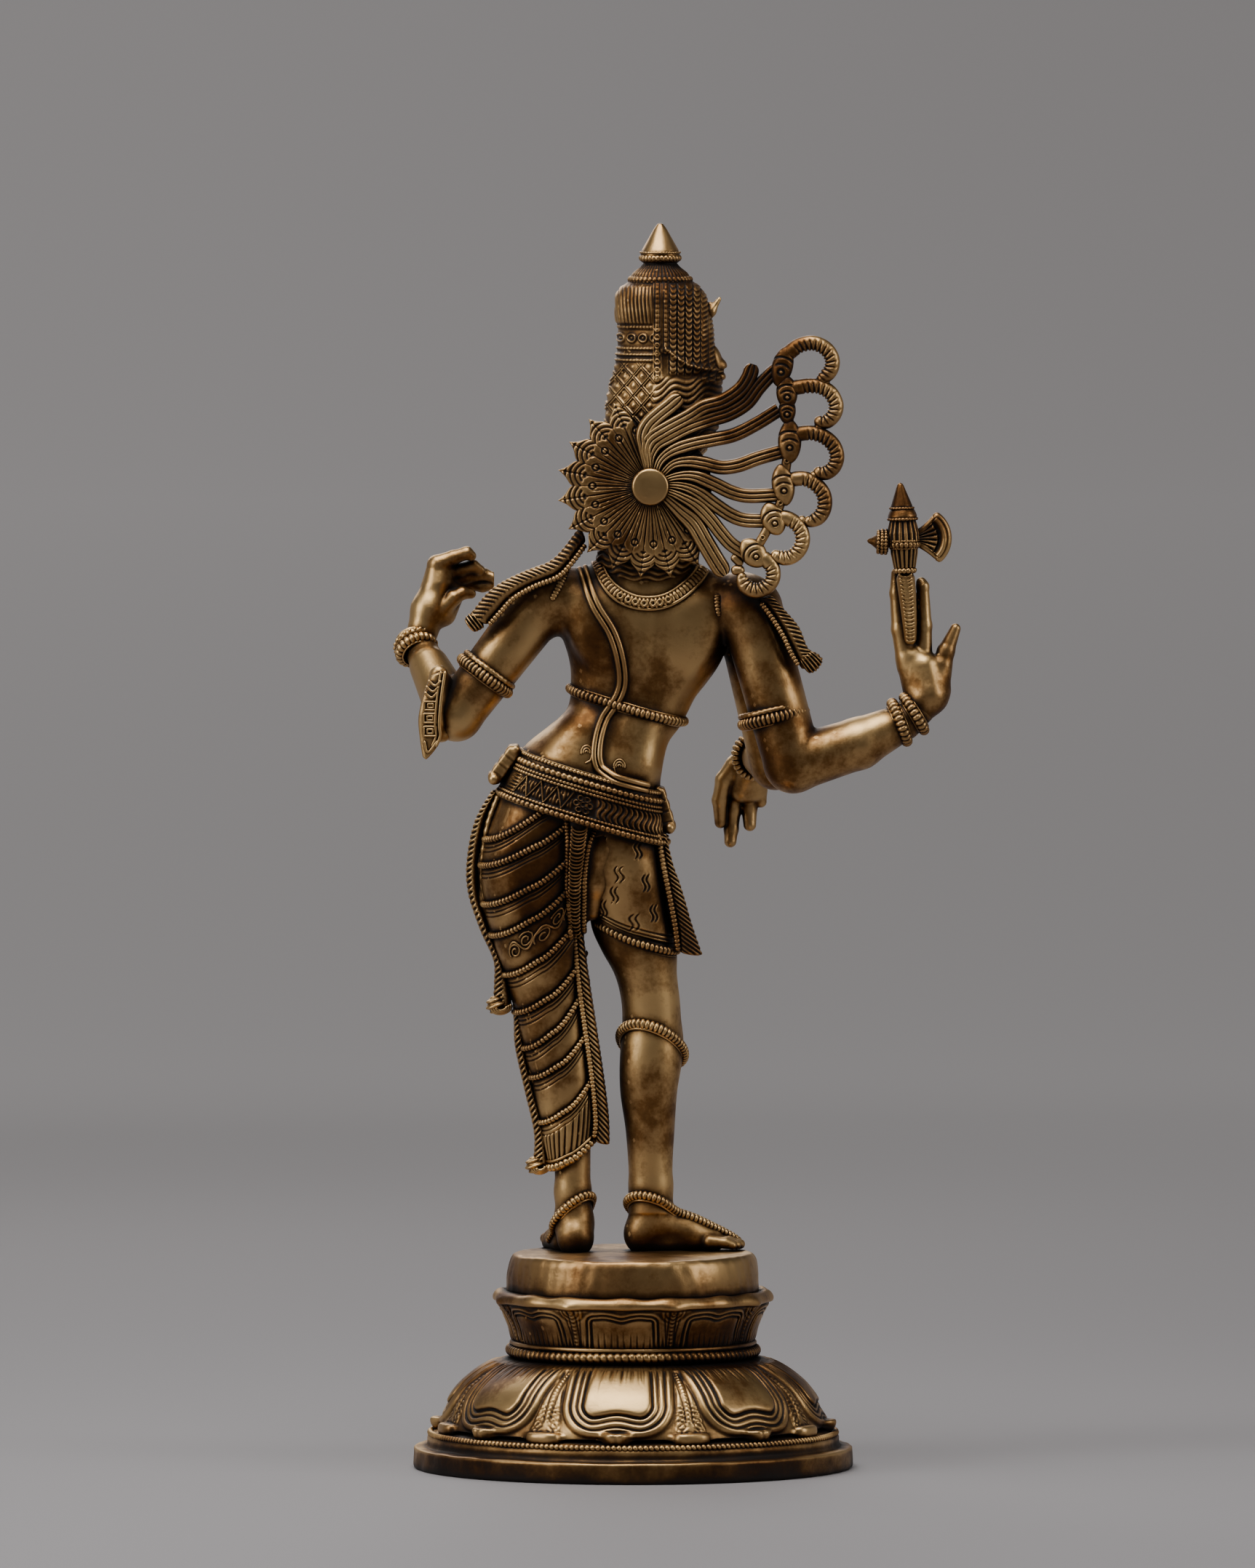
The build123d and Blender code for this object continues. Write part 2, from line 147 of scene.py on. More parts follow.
def side_vectors(line, closed=False, up=None):
    """Tangent, side and up vectors along a line."""
    if closed:
        tangent = unit(np.roll(line, -1, 0) - np.roll(line, 1, 0))
    else:
        tangent = unit(np.gradient(line, axis=0))
    if up is not None:
        u = np.broadcast_to(np.asarray(up, float), line.shape)
        side = unit(np.cross(tangent, u))
        return tangent, side, np.cross(side, tangent)
    side = np.zeros_like(line)
    first = np.cross(tangent[0], [0.31, 0.87, 0.38])
    side[0] = unit(first)
    for k in range(1, len(line)):
        v = side[k - 1] - tangent[k] * np.dot(side[k - 1], tangent[k])
        side[k] = v / max(np.linalg.norm(v), 1e-9)
    return tangent, side, np.cross(side, tangent)


def tube(parts, line, radius, around=14, closed=False, up=None, flat=1.0):
    """A tube along an even line. radius is a number or a function of (distance, angle) arrays."""
    if closed:
        line = line[:-1]
    _, side, high = side_vectors(line, closed, up)
    step = np.linalg.norm(line[1] - line[0])
    s = (np.arange(len(line)) * step)[:, None]
    phi = (np.arange(around) / around * TAU)[None, :]
    r = radius(s, phi) if callable(radius) else np.full((len(line), around), float(radius))
    r = np.broadcast_to(r, (len(line), around)).copy()
    if not closed:
        total = s[-1, 0]
        mean = r.mean(1)
        reach = np.minimum(s[:, 0], total - s[:, 0])
        cap = np.maximum(mean, 1e-3)
        share = np.clip(reach / cap, 0, 1)
        r *= np.sqrt(np.clip(1 - (1 - share) ** 2, 0, 1))[:, None]
    pts = line[:, None, :] + (side[:, None, :] * np.cos(phi)[..., None]
                              + high[:, None, :] * np.sin(phi)[..., None] * flat) * r[..., None]
    parts.sheet(pts, closed, True)
    return parts


def rope(parts, line, radius, pitch=2.4, slant=0.5, depth=0.32, closed=False, around=14, flat=1.0, up=None):
    """A cord of slanting beads, as cast on belts and bangles."""
    line = even_line(line, pitch / 9)
    length = (len(line) - 1) * np.linalg.norm(line[1] - line[0])
    turns = max(1, round(length / pitch))

    def bead(s, phi):
        wave = np.abs(np.sin(PI * (s / length * turns + slant * phi / TAU * (2 if closed else 1))))
        if closed:
            wave = np.abs(np.sin(PI * (s / length * turns) + slant * np.sin(phi)))
        return radius * (1 - depth + depth * wave ** 0.55)
    return tube(parts, line, bead, around, closed, up, flat)


# ---------------------------------------------------------------- solids as distance fields

class Clay:
    """A block of distance values, built up from soft shapes and turned into a mesh."""

    def __init__(self, low, high, cell):
        self.cell = cell
        self.low = np.array(low, float)
        self.shape = np.ceil((np.array(high, float) - self.low) / cell).astype(int) + 1
        self.d = np.full(self.shape, 3.0, np.float32)

    def part(self, low, high):
        a = np.clip(np.floor((np.array(low) - self.low) / self.cell).astype(int), 0, self.shape - 1)
        b = np.clip(np.ceil((np.array(high) - self.low) / self.cell).astype(int) + 1, a + 1, self.shape)
        axes = [(self.low[k] + self.cell * np.arange(a[k], b[k])).astype(np.float32) for k in range(3)]
        x, y, z = axes[0][:, None, None], axes[1][None, :, None], axes[2][None, None, :]
        return (slice(a[0], b[0]), slice(a[1], b[1]), slice(a[2], b[2])), x, y, z

    def apply(self, shape, soft=0.0, cut=False):
        fn, low, high = shape
        pad = 2.5 + soft
        sl, x, y, z = self.part(np.array(low) - pad, np.array(high) + pad)
        new = fn(x, y, z)
        old = self.d[sl]
        if cut:
            self.d[sl] = -soft_min(-old, new, soft)
        else:
            self.d[sl] = soft_min(old, new, soft)

    def add(self, shape, soft=0.0):
        self.apply(shape, soft)
        return self

    def cut(self, shape, soft=0.0):
        self.apply(shape, soft, True)
        return self

    def surface(self):
        """Vertices in millimetres and faces."""
        field = openvdb.FloatGrid(3.0)
        field.copyFromArray(np.ascontiguousarray(np.clip(self.d, -3, 3)))
        verts, tris, quads = field.convertToPolygons(isovalue=0.0, adaptivity=0.0)
        verts = verts * self.cell + self.low
        return verts, [quads.astype(np.int64), tris.astype(np.int64)]

    def make(self, name):
        return build_mesh(name, *self.surface())


def soft_min(a, b, k):
    if k <= 0:
        return np.minimum(a, b)
    h = np.maximum(k - np.abs(a - b), 0) / k
    return np.minimum(a, b) - h * h * (k * 0.25)


def rod(a, b, ra, rb=None):
    """A tapered rod with round ends."""
    rb = ra if rb is None else rb
    a, b = np.array(a, float), np.array(b, float)
    ab = b - a
    ll = float(ab @ ab) + 1e-9
    low = np.minimum(a - ra, b - rb)
    high = np.maximum(a + ra, b + rb)

    def fn(x, y, z):
        px, py, pz = x - a[0], y - a[1], z - a[2]
        t = np.clip((px * ab[0] + py * ab[1] + pz * ab[2]) / ll, 0, 1)
        d = np.sqrt((px - t * ab[0]) ** 2 + (py - t * ab[1]) ** 2 + (pz - t * ab[2]) ** 2)
        return (d - (ra + (rb - ra) * t)).astype(np.float32)
    return fn, low, high


def turn_matrix(about_x=0.0, about_y=0.0, about_z=0.0):
    """Rotation in degrees about X, then Y, then Z."""
    ax, ay, az = (math.radians(v) for v in (about_x, about_y, about_z))
    mx = np.array([[1, 0, 0], [0, math.cos(ax), -math.sin(ax)], [0, math.sin(ax), math.cos(ax)]])
    my = np.array([[math.cos(ay), 0, math.sin(ay)], [0, 1, 0], [-math.sin(ay), 0, math.cos(ay)]])
    mz = np.array([[math.cos(az), -math.sin(az), 0], [math.sin(az), math.cos(az), 0], [0, 0, 1]])
    return mz @ my @ mx


def egg(centre, size, turn=(0, 0, 0)):
    """An ellipsoid with half sizes, turned in degrees."""
    c, r, m = np.array(centre, float), np.array(size, float), turn_matrix(*turn)
    reach = np.sqrt(((m * r[None, :]) ** 2).sum(1))

    def fn(x, y, z):
        px, py, pz = x - c[0], y - c[1], z - c[2]
        u = m[0, 0] * px + m[1, 0] * py + m[2, 0] * pz
        v = m[0, 1] * px + m[1, 1] * py + m[2, 1] * pz
        w = m[0, 2] * px + m[1, 2] * py + m[2, 2] * pz
        k0 = np.sqrt((u / r[0]) ** 2 + (v / r[1]) ** 2 + (w / r[2]) ** 2)
        k1 = np.sqrt((u / r[0] ** 2) ** 2 + (v / r[1] ** 2) ** 2 + (w / r[2] ** 2) ** 2)
        return (k0 * (k0 - 1) / np.maximum(k1, 1e-6)).astype(np.float32)
    return fn, c - reach, c + reach


def column(sections, power=2.0):
    """A body through horizontal ovals (z, x, y, half width, half depth)."""
    s = np.array(sections, float)
    zs = np.linspace(s[0, 0], s[-1, 0], 240)
    curve = [catmull(s[:, 0], s[:, k], zs) for k in range(1, 5)]
    low = np.array([(s[:, 1] - s[:, 3]).min(), (s[:, 2] - s[:, 4]).min(), s[0, 0]])
    high = np.array([(s[:, 1] + s[:, 3]).max(), (s[:, 2] + s[:, 4]).max(), s[-1, 0]])

    def fn(x, y, z):
        cx, cy, rx, ry = (np.interp(z, zs, c).astype(np.float32) for c in curve)
        q = ((np.abs(x - cx) / rx) ** power + (np.abs(y - cy) / ry) ** power) ** (1 / power)
        d = (q - 1) * np.minimum(rx, ry) * 0.95
        ends = np.maximum(s[0, 0] - z, z - s[-1, 0])
        return np.maximum(d, ends).astype(np.float32)
    return fn, low, high


def catmull(xs, ys, at):
    """A smooth curve through points (xs, ys), read at places at."""
    slopes = np.gradient(ys, xs)
    k = np.clip(np.searchsorted(xs, at) - 1, 0, len(xs) - 2)
    h = xs[k + 1] - xs[k]
    t = np.clip((at - xs[k]) / h, 0, 1)
    return ((2 * t ** 3 - 3 * t ** 2 + 1) * ys[k] + (t ** 3 - 2 * t ** 2 + t) * h * slopes[k]
            + (3 * t ** 2 - 2 * t ** 3) * ys[k + 1] + (t ** 3 - t ** 2) * h * slopes[k + 1])


def tree_of(obj):
    """A search tree of a mesh object, in millimetres."""
    mesh = obj.data
    co = np.empty(len(mesh.vertices) * 3, np.float32)
    mesh.vertices.foreach_get("co", co)
    verts = [Vector(v) for v in (co.reshape(-1, 3) / MM).tolist()]
    return BVHTree.FromPolygons(verts, [tuple(p.vertices) for p in mesh.polygons])


def cast(trees, start, direction):
    """The first hit of a ray on any of the trees."""
    best = None
    for tree in trees:
        hit, normal, _, distance = tree.ray_cast(Vector(start), Vector(direction))
        if hit is not None and (best is None or distance < best[2]):
            best = (np.array(hit), np.array(normal), distance)
    return best


def pulse(x, centre, width):
    """A smooth bump of height 1."""
    return np.exp(-((x - centre) / width) ** 2)


def ridge(x, sharp=1.0):
    """A row of round ridges, one per unit of x, from 0 to 1."""
    return np.abs(np.sin(PI * x)) ** sharp


def step_up(x, at, width):
    return 1 / (1 + np.exp(-np.clip((x - at) / width, -30, 30)))


def noise3(x, y, z, scale, seed=0):
    """Soft repeatable noise between about -1 and 1."""
    gen = np.random.default_rng(seed)
    out = 0.0
    for _ in range(5):
        d = gen.normal(size=3)
        d = d / np.linalg.norm(d) / scale * gen.uniform(0.7, 1.6)
        out = out + np.sin(TAU * (x * d[0] + y * d[1] + z * d[2]) + gen.uniform(0, TAU))
    return out / 3.2


# ---------------------------------------------------------------- pedestal

PLATE_R, PLATE_TOP = node_box("base_plate")[1][0], node_box("base_plate")[1][2]
STEP_R = node_box("upper_step")[1][0]
STEP_TOP = 14.8
BELL = [(66.5, 13.8), (69.6, 14.4), (69.0, 17.4), (67.1, 20.8), (64.5, 25.7), (60.6, 30.6), (54.3, 35.7),
        (48.5, 38.4), (42.4, 39.8)]
CUP = [(42.6, 44.6), (43.6, 47.0), (44.6, 51.0), (46.6, 55.4), (48.6, 58.2), (49.6, 60.2), (49.3, 61.9),
       (47.6, 63.2), (43.4, 63.4)]
PLINTH_R, PLINTH_TOP = 45.2, node_box("plinth")[1][2]
PETAL_COUNT = 8
PETAL_TURN = math.radians(90 - 5.0)


def turned(profile, around, push=None, step=0.4):
    """A surface of revolution. push(distance, angle, radius, height) moves it outwards."""
    line = even_line(np.array(profile, float), step)
    s = np.concatenate([[0], np.cumsum(np.linalg.norm(np.diff(line, axis=0), axis=1))])
    normal = unit(np.stack([np.gradient(line[:, 1]), -np.gradient(line[:, 0])], 1))
    a = np.arange(around) / around * TAU
    r = line[:, 0][:, None] + np.zeros_like(a)[None, :]
    z = line[:, 1][:, None] + np.zeros_like(a)[None, :]
    if push is not None:
        h = push(s[:, None], a[None, :], line[:, 0][:, None], line[:, 1][:, None])
        r = r + h * normal[:, 0][:, None]
        z = z + h * normal[:, 1][:, None]
    return np.stack([r * np.cos(a), r * np.sin(a), z], -1)


def level_ring(radius, height, count=2000):
    """A closed level circle round the Z axis."""
    a = np.arange(count + 1) / count * TAU
    return np.stack([radius * np.cos(a), radius * np.sin(a), height + 0 * a], 1)


def rounded_line(points, radius, bend=6):
    """A profile whose corners are rounded."""
    p = np.array(points, float)
    out = [p[0]]
    for k in range(1, len(p) - 1):
        a, b, c = p[k - 1], p[k], p[k + 1]
        u, v = unit(a - b), unit(c - b)
        r = min(radius, np.linalg.norm(a - b) * 0.45, np.linalg.norm(c - b) * 0.45)
        for t in np.linspace(0, 1, bend):
            out.append((1 - t) ** 2 * (b + u * r) + 2 * t * (1 - t) * b + t ** 2 * (b + v * r))
    out.append(p[-1])
    return np.array(out)


def petal_place(angle, radius):
    """Distances in millimetres from the nearest main petal's middle and from the nearest filler's middle."""
    turn = TAU / PETAL_COUNT
    main = (angle - PETAL_TURN + turn / 2) % turn - turn / 2
    fill = (angle - PETAL_TURN) % turn - turn / 2
    return main * radius, fill * radius


def round_box(a, s, half, bottom, corner):
    """Signed distance to a strip open at the top, rounded at its lower corners."""
    qa = a - (half - corner)
    qs = s - (bottom - corner)
    return np.hypot(np.maximum(qa, 0), np.maximum(qs, 0)) + np.minimum(np.maximum(qa, qs), 0) - corner


def hair_lines(angle, count, seed, s, reach):
    """Fine engraved lines of uneven length that start at s = 0."""
    gen = np.random.default_rng(seed)
    cell = np.floor(angle / TAU * count).astype(int) % count
    length = reach * (0.45 + 0.75 * gen.random(count))[cell]
    line = ridge(angle / TAU * count, 1.0)
    return (1 - line) ** 2.2 * np.clip(1.15 - s / length, 0, 1)


def bell_push(s, angle, radius, height):
    """Relief of the lower lotus. s runs up the bell from its lower rim."""
    total = 36.9
    t = total - s
    main, fill = petal_place(angle, radius)
    a = np.abs(main)
    tip = np.exp(-(a / 4.2) ** 2)
    wave = 0.9 * np.exp(-(a / 5.0) ** 2) - 0.55 * np.exp(-((a - 8.5) / 4.0) ** 2)
    half = 20.4 + 0.10 * (t - 24)
    outer = round_box(a, t - 1.5 * tip, half, 31.6, 12.5)
    inner = round_box(a, t + 1.0 * wave, half, 31.6, 12.5)
    h = -1.1 * step_up(outer, 0.3, 0.22)
    h = h + 0.5 * pulse(outer, -1.3, 0.9)
    h = h - 0.75 * pulse(inner, -2.7, 0.34)
    h = h + 0.35 * pulse(inner, -4.0, 0.9)
    h = h - 0.5 * pulse(inner, -5.2, 0.3)
    h = h + 0.35 * pulse(inner, -6.3, 0.7)
    h = h - 0.95 * pulse(inner, -7.5, 0.42)
    shield = step_up(-inner, 7.9, 0.35)
    h = h + shield * (0.55 + 0.7 * np.clip((t - 6) / 20, 0, 1))
    nub = np.exp(-((a / 4.9) ** 4 + ((t - 33.1) / 2.1) ** 4))
    h = h + 3.3 * nub
    h = h - 0.8 * np.exp(-((a / 5.6) ** 2 + ((t - 30.2) / 0.8) ** 2))
    h = h - 0.5 * np.exp(-((a / 1.0) ** 2 + ((t - 32.5) / 1.6) ** 2))
    b = np.abs(fill)
    spread = 1.6 + np.clip(t - 8, 0, 30) * 0.19
    inside = step_up(spread - b, 0.0, 0.2)
    h = h + inside * 0.9 * np.clip((t - 5) / 10, 0, 1)
    bead = ridge(t / 1.7, 0.7)
    h = (h + inside * (0.45 * np.exp(-(b / 0.75) ** 2) * bead - 0.4 * pulse(b, 1.35, 0.3))
         * step_up(26.5 - t, 0, 0.4))
    lace = np.minimum(ridge(np.hypot(b - 3.4, t - 27.5) / 1.7, 0.8),
                      ridge(np.hypot(b, t - 31.5) / 1.8, 0.8))
    h = (h - inside * 0.5 * (1 - lace) * step_up(t, 20.0, 0.7) * step_up(31.0 - t, 0, 0.4)
         * step_up(b, 1.3, 0.3))
    foot = np.exp(-((b / 6.6) ** 4 + ((t - 33.0) / 2.2) ** 4))
    h = h + 2.8 * foot - 0.5 * np.exp(-((b / 6.5) ** 4 + ((t - 30.6) / 0.5) ** 2))
    lines = (hair_lines(angle, 168, 3, t - 1.0, 8.5)
             + shield * 1.2 * hair_lines(angle + 0.01, 96, 8, t - 3.0, 10.0))
    h = h - 0.42 * lines
    return h * np.clip(s / 1.2, 0, 1) * np.clip(t / 2.5, 0.2, 1)


def cup_push(s, angle, radius, height):
    """Relief of the upper lotus. s runs up from its foot to the lip."""
    main, fill = petal_place(angle, radius)
    a = np.abs(main)
    t = s
    wave = 0.9 * np.exp(-(a / 2.6) ** 2) - 0.5 * np.exp(-((a - 6.5) / 3.0) ** 2)
    edge = round_box(a, t + wave, 14.6, 15.4, 4.6)
    rise = step_up(-edge, 0.1, 0.2)
    h = -0.75 * (1 - rise)
    h = h - 0.6 * pulse(edge, -1.7, 0.32) - 0.55 * pulse(edge, -3.4, 0.34) + 0.25 * pulse(edge, -2.6, 0.4)
    h = h + 0.5 * step_up(-edge, 4.2, 0.5)
    b = np.abs(fill)
    inside = step_up(2.0 + 0.16 * np.clip(t, 0, 20) - b, 0, 0.2)
    h = (h + inside
         * (0.7 + 0.45 * np.exp(-(b / 0.7) ** 2) * ridge(t / 1.5, 0.7) - 0.35 * pulse(b, 1.3, 0.25)))
    side = np.abs(a - 15.6)
    h = h - 0.35 * pulse(side, 0.0, 0.25) * step_up(13 - t, 0, 0.6)
    lace = ridge(np.hypot(b, t - 15.5) / 1.6, 0.8)
    h = h - inside * 0.4 * (1 - lace) * step_up(t, 11.0, 0.6)
    h = h - 0.45 * hair_lines(angle + 0.02, 120, 5, t - 1.2, 5.5)
    low = step_up(16.2 - t, 0, 0.35)
    lip = step_up(t, 16.4, 0.35) * step_up(23.0 - t, 0, 0.4)
    scallop = 0.75 * np.cos(2 * PETAL_COUNT * (angle - PETAL_TURN)) + 0.35 * np.cos(24 * angle + 1.0)
    nib = np.exp(-(np.abs(fill) / 3.0) ** 2) * np.exp(-((t - 17.2) / 1.3) ** 2)
    return (h * low * np.clip(t / 1.0, 0, 1) + lip * (0.35 + 0.4 * scallop) + 0.9 * nib
            - 0.5 * pulse(t, 16.1, 0.5))


def make_pedestal():
    inner = 64.2
    plate_edge = rounded_line([(inner, 0.0), (PLATE_R - 0.4, 0.0), (PLATE_R, 0.9),
                               (PLATE_R - 0.15, PLATE_TOP - 0.2), (STEP_R + 0.8, PLATE_TOP + 0.1)], 0.9)
    step_edge = rounded_line([(STEP_R + 0.6, PLATE_TOP + 0.05), (STEP_R, 8.6), (STEP_R + 0.1, 10.8),
                              (STEP_R - 0.8, 12.3), (69.8, 13.4), (inner, STEP_TOP)], 0.8)
    foot = np.concatenate([plate_edge, step_edge[1:], [(64.0, 14.0), (64.0, 0.3), (inner, 0.0)]])

    def uneven(s, angle, radius, height):
        x, y = radius * np.cos(angle), radius * np.sin(angle)
        return 0.16 * noise3(x, y, height * 2, 16, 4) * step_up(radius, 66, 1)
    foot_parts = Parts()
    foot_parts.sheet(turned(foot, 640, uneven), False, True)
    rope(foot_parts, level_ring(STEP_R - 1.0, 12.4), 1.15, 1.9, 0.5, 0.55, True, 10)
    base = foot_parts.make("foot_steps")

    bell_line = smooth_line(BELL, 0.38)
    inside = [(37.8, 40.0), (37.6, 36.0), (44.0, 33.5), (55.0, 27.0), (61.0, 20.0), (63.4, 15.0),
              (66.5, 13.8)]
    lotus = Parts()
    lotus.sheet(turned(bell_line, 1100, bell_push, 0.38), False, True)
    lotus.sheet(turned(inside, 240, None, 1.5), False, True)
    lotus.sheet(turned([(42.2, 39.4), (42.4, 42.0), (42.6, 45.4)], 400, None, 0.6), False, True)
    bell = lotus.make("lower_lotus_bell")

    waist = Parts()
    ring = level_ring(43.75, 42.0)
    ring[:, 2] += 0.25 * np.cos(3 * np.linspace(0, TAU, len(ring)) + 1)
    rope(waist, ring, 2.05, 2.5, 0.55, 0.3, True, 16)
    tube(waist, even_line(level_ring(43.3, 44.7), 0.9), 1.0, 10, True)
    belt = waist.make("waist_cord")

    cup_line = smooth_line(CUP, 0.34)
    upper = Parts()
    upper.sheet(turned(cup_line, 980, cup_push, 0.34), False, True)
    upper.sheet(turned([(37.6, 70.5), (37.6, 45.2), (42.6, 44.8)], 200, None, 1.5), False, True)
    cup = upper.make("upper_lotus_cup")

    def dents(s, angle, radius, height):
        x, y = radius * np.cos(angle), radius * np.sin(angle)
        edge = np.clip(radius / 20, 0, 1)
        return edge * (0.34 * noise3(x, y, height, 26, 9) + 0.10 * noise3(x, y, height, 7, 11))
    drum = rounded_line([(43.0, 62.4), (PLINTH_R + 0.1, 63.0), (PLINTH_R - 0.3, 69.0),
                         (44.0, PLINTH_TOP - 2.0), (42.9, PLINTH_TOP),
                         (0.3, PLINTH_TOP)], 1.3)
    deck = Parts()
    deck.sheet(turned(drum, 700, dents, 0.5), False, True)
    deck.sheet(turned([(0.2, 70.6), (37.7, 70.6)], 120, None, 2.0), False, True)
    top = deck.make("plinth_drum")
    return [(base, ["base_plate", "upper_step"]), (bell, ["lower_lotus"]), (belt, ["waist_rope"]),
            (cup, ["upper_lotus"]), (top, ["plinth"])]


# ---------------------------------------------------------------- halo

HALO_X, HALO_Z = (node_box("halo_boss")[0][0] + node_box("halo_boss")[1][0]) / 2, 351.5
HALO_FACE, HALO_BACK = 13.0, 9.6
BOSS_R = 6.8
PETAL_STEP = 18.8
FIRST_PETAL = 113.5
# hair locks as seen from behind: centre line, width, number of ridges, free end
LOCKS = [
    ([(-5.7, 354.0), (-4.8, 360.1), (-4.0, 365.4), (-3.8, 369.8), (-5.7, 373.8), (-9.3, 377.2),
      (-13.3, 380.4), (-17.0, 383.6)], 6.2, 3, True),
    ([(-6.0, 354.0), (-5.2, 360.1), (-4.6, 364.6), (-6.1, 368.5), (-11.1, 371.9), (-19.9, 376.7),
      (-25.2, 379.9), (-32.1, 382.0), (-38.1, 386.0), (-41.3, 390.6), (-42.7, 395.2)], 5.6, 3, True),
    ([(-6.5, 354.0), (-6.1, 358.5), (-6.5, 362.7), (-8.8, 366.6), (-13.8, 369.6), (-20.6, 373.0),
      (-27.9, 375.5), (-34.4, 377.6), (-40.5, 381.4), (-44.7, 386.8), (-48.9, 391.4), (-51.6, 393.5)],
     5.4, 3, False),
    ([(-7.6, 353.2), (-8.4, 357.8), (-10.3, 361.6), (-14.5, 364.6), (-21.4, 366.9), (-28.3, 368.3),
      (-35.9, 370.0), (-43.6, 373.8), (-52.0, 379.0)], 5.2, 3, False),
    ([(-8.4, 352.4), (-10.7, 356.2), (-14.5, 359.6), (-19.9, 360.5), (-25.2, 359.8), (-31.4, 358.4),
      (-37.5, 359.1), (-44.4, 361.6), (-52.8, 364.0)], 5.2, 3, False),
    ([(-8.8, 352.1), (-12.2, 354.3), (-17.6, 355.5), (-22.9, 355.0), (-29.1, 352.4), (-35.2, 349.5),
      (-41.3, 348.2), (-51.2, 348.6)], 5.2, 3, False),
    ([(-8.8, 351.3), (-13.0, 352.1), (-18.4, 351.5), (-23.7, 349.2), (-29.4, 345.0), (-34.8, 341.4),
      (-39.8, 339.6), (-47.4, 339.3)], 5.2, 3, False),
    ([(-8.4, 350.9), (-12.6, 349.8), (-17.6, 347.7), (-22.9, 344.6), (-27.5, 339.9), (-31.4, 334.9),
      (-35.2, 330.8), (-40.7, 327.4)], 5.2, 3, False),
    ([(-7.6, 350.5), (-11.5, 347.5), (-16.8, 342.8), (-21.6, 338.5), (-25.5, 332.0), (-29.2, 325.7),
      (-32.9, 319.9)], 6.6, 3, True),
]
# plates of the chain, shaped like fish heads: centre, half width, half length, lean in degrees
HEADS = [
    ((-53.2, 394.4), 3.8, 7.4, -14), ((-54.8, 385.1), 3.8, 6.2, 4), ((-54.9, 378.7), 3.1, 5.0, 0),
    ((-55.8, 367.7), 4.2, 8.0, 0),
    ((-53.5, 352.2), 4.1, 7.6, 8), ((-49.9, 340.1), 4.5, 6.2, 22), ((-42.8, 327.9), 4.6, 6.0, 40),
]
NECKS = [(-55.2, 399.3), (-53.4, 389.7), (-55.1, 381.6), (-55.5, 375.3), (-54.8, 360.8), (-52.5, 345.7),
         (-46.2, 333.4), (-40.5, 325.7)]
SNAKE_LOOPS = [
    [(-54.3, 397.1), (-56.0, 399.6), (-59.5, 401.9), (-64.2, 402.7), (-68.5, 400.8), (-70.8, 397.3),
     (-70.5, 393.5), (-67.8, 390.3), (-65.5, 388.9)],
    [(-55.2, 386.6), (-58.9, 387.1), (-62.7, 387.5), (-66.7, 387.1), (-70.4, 384.8), (-72.3, 380.7),
     (-71.3, 376.9), (-68.2, 374.6), (-64.5, 375.3)],
    [(-57.0, 369.8), (-60.4, 370.6), (-64.2, 370.6), (-68.2, 369.2), (-71.4, 366.2), (-72.6, 362.2),
     (-71.3, 358.4), (-68.1, 356.4), (-64.2, 357.2)],
    [(-55.2, 353.5), (-58.1, 354.4), (-61.3, 354.3), (-65.0, 352.4), (-67.8, 348.9), (-68.2, 344.6),
     (-66.5, 341.0), (-63.2, 339.3), (-61.3, 340.5)],
    [(-51.2, 340.5), (-54.1, 340.5), (-57.2, 339.0), (-59.6, 336.3), (-60.4, 332.4), (-58.9, 328.6),
     (-55.7, 326.3), (-51.8, 326.5), (-49.4, 328.3)],
    [(-44.7, 327.2), (-47.4, 325.4), (-49.6, 322.5), (-49.7, 318.7), (-47.4, 315.6), (-43.6, 314.4),
     (-40.2, 316.1), (-39.0, 319.2), (-39.9, 320.7)],
]


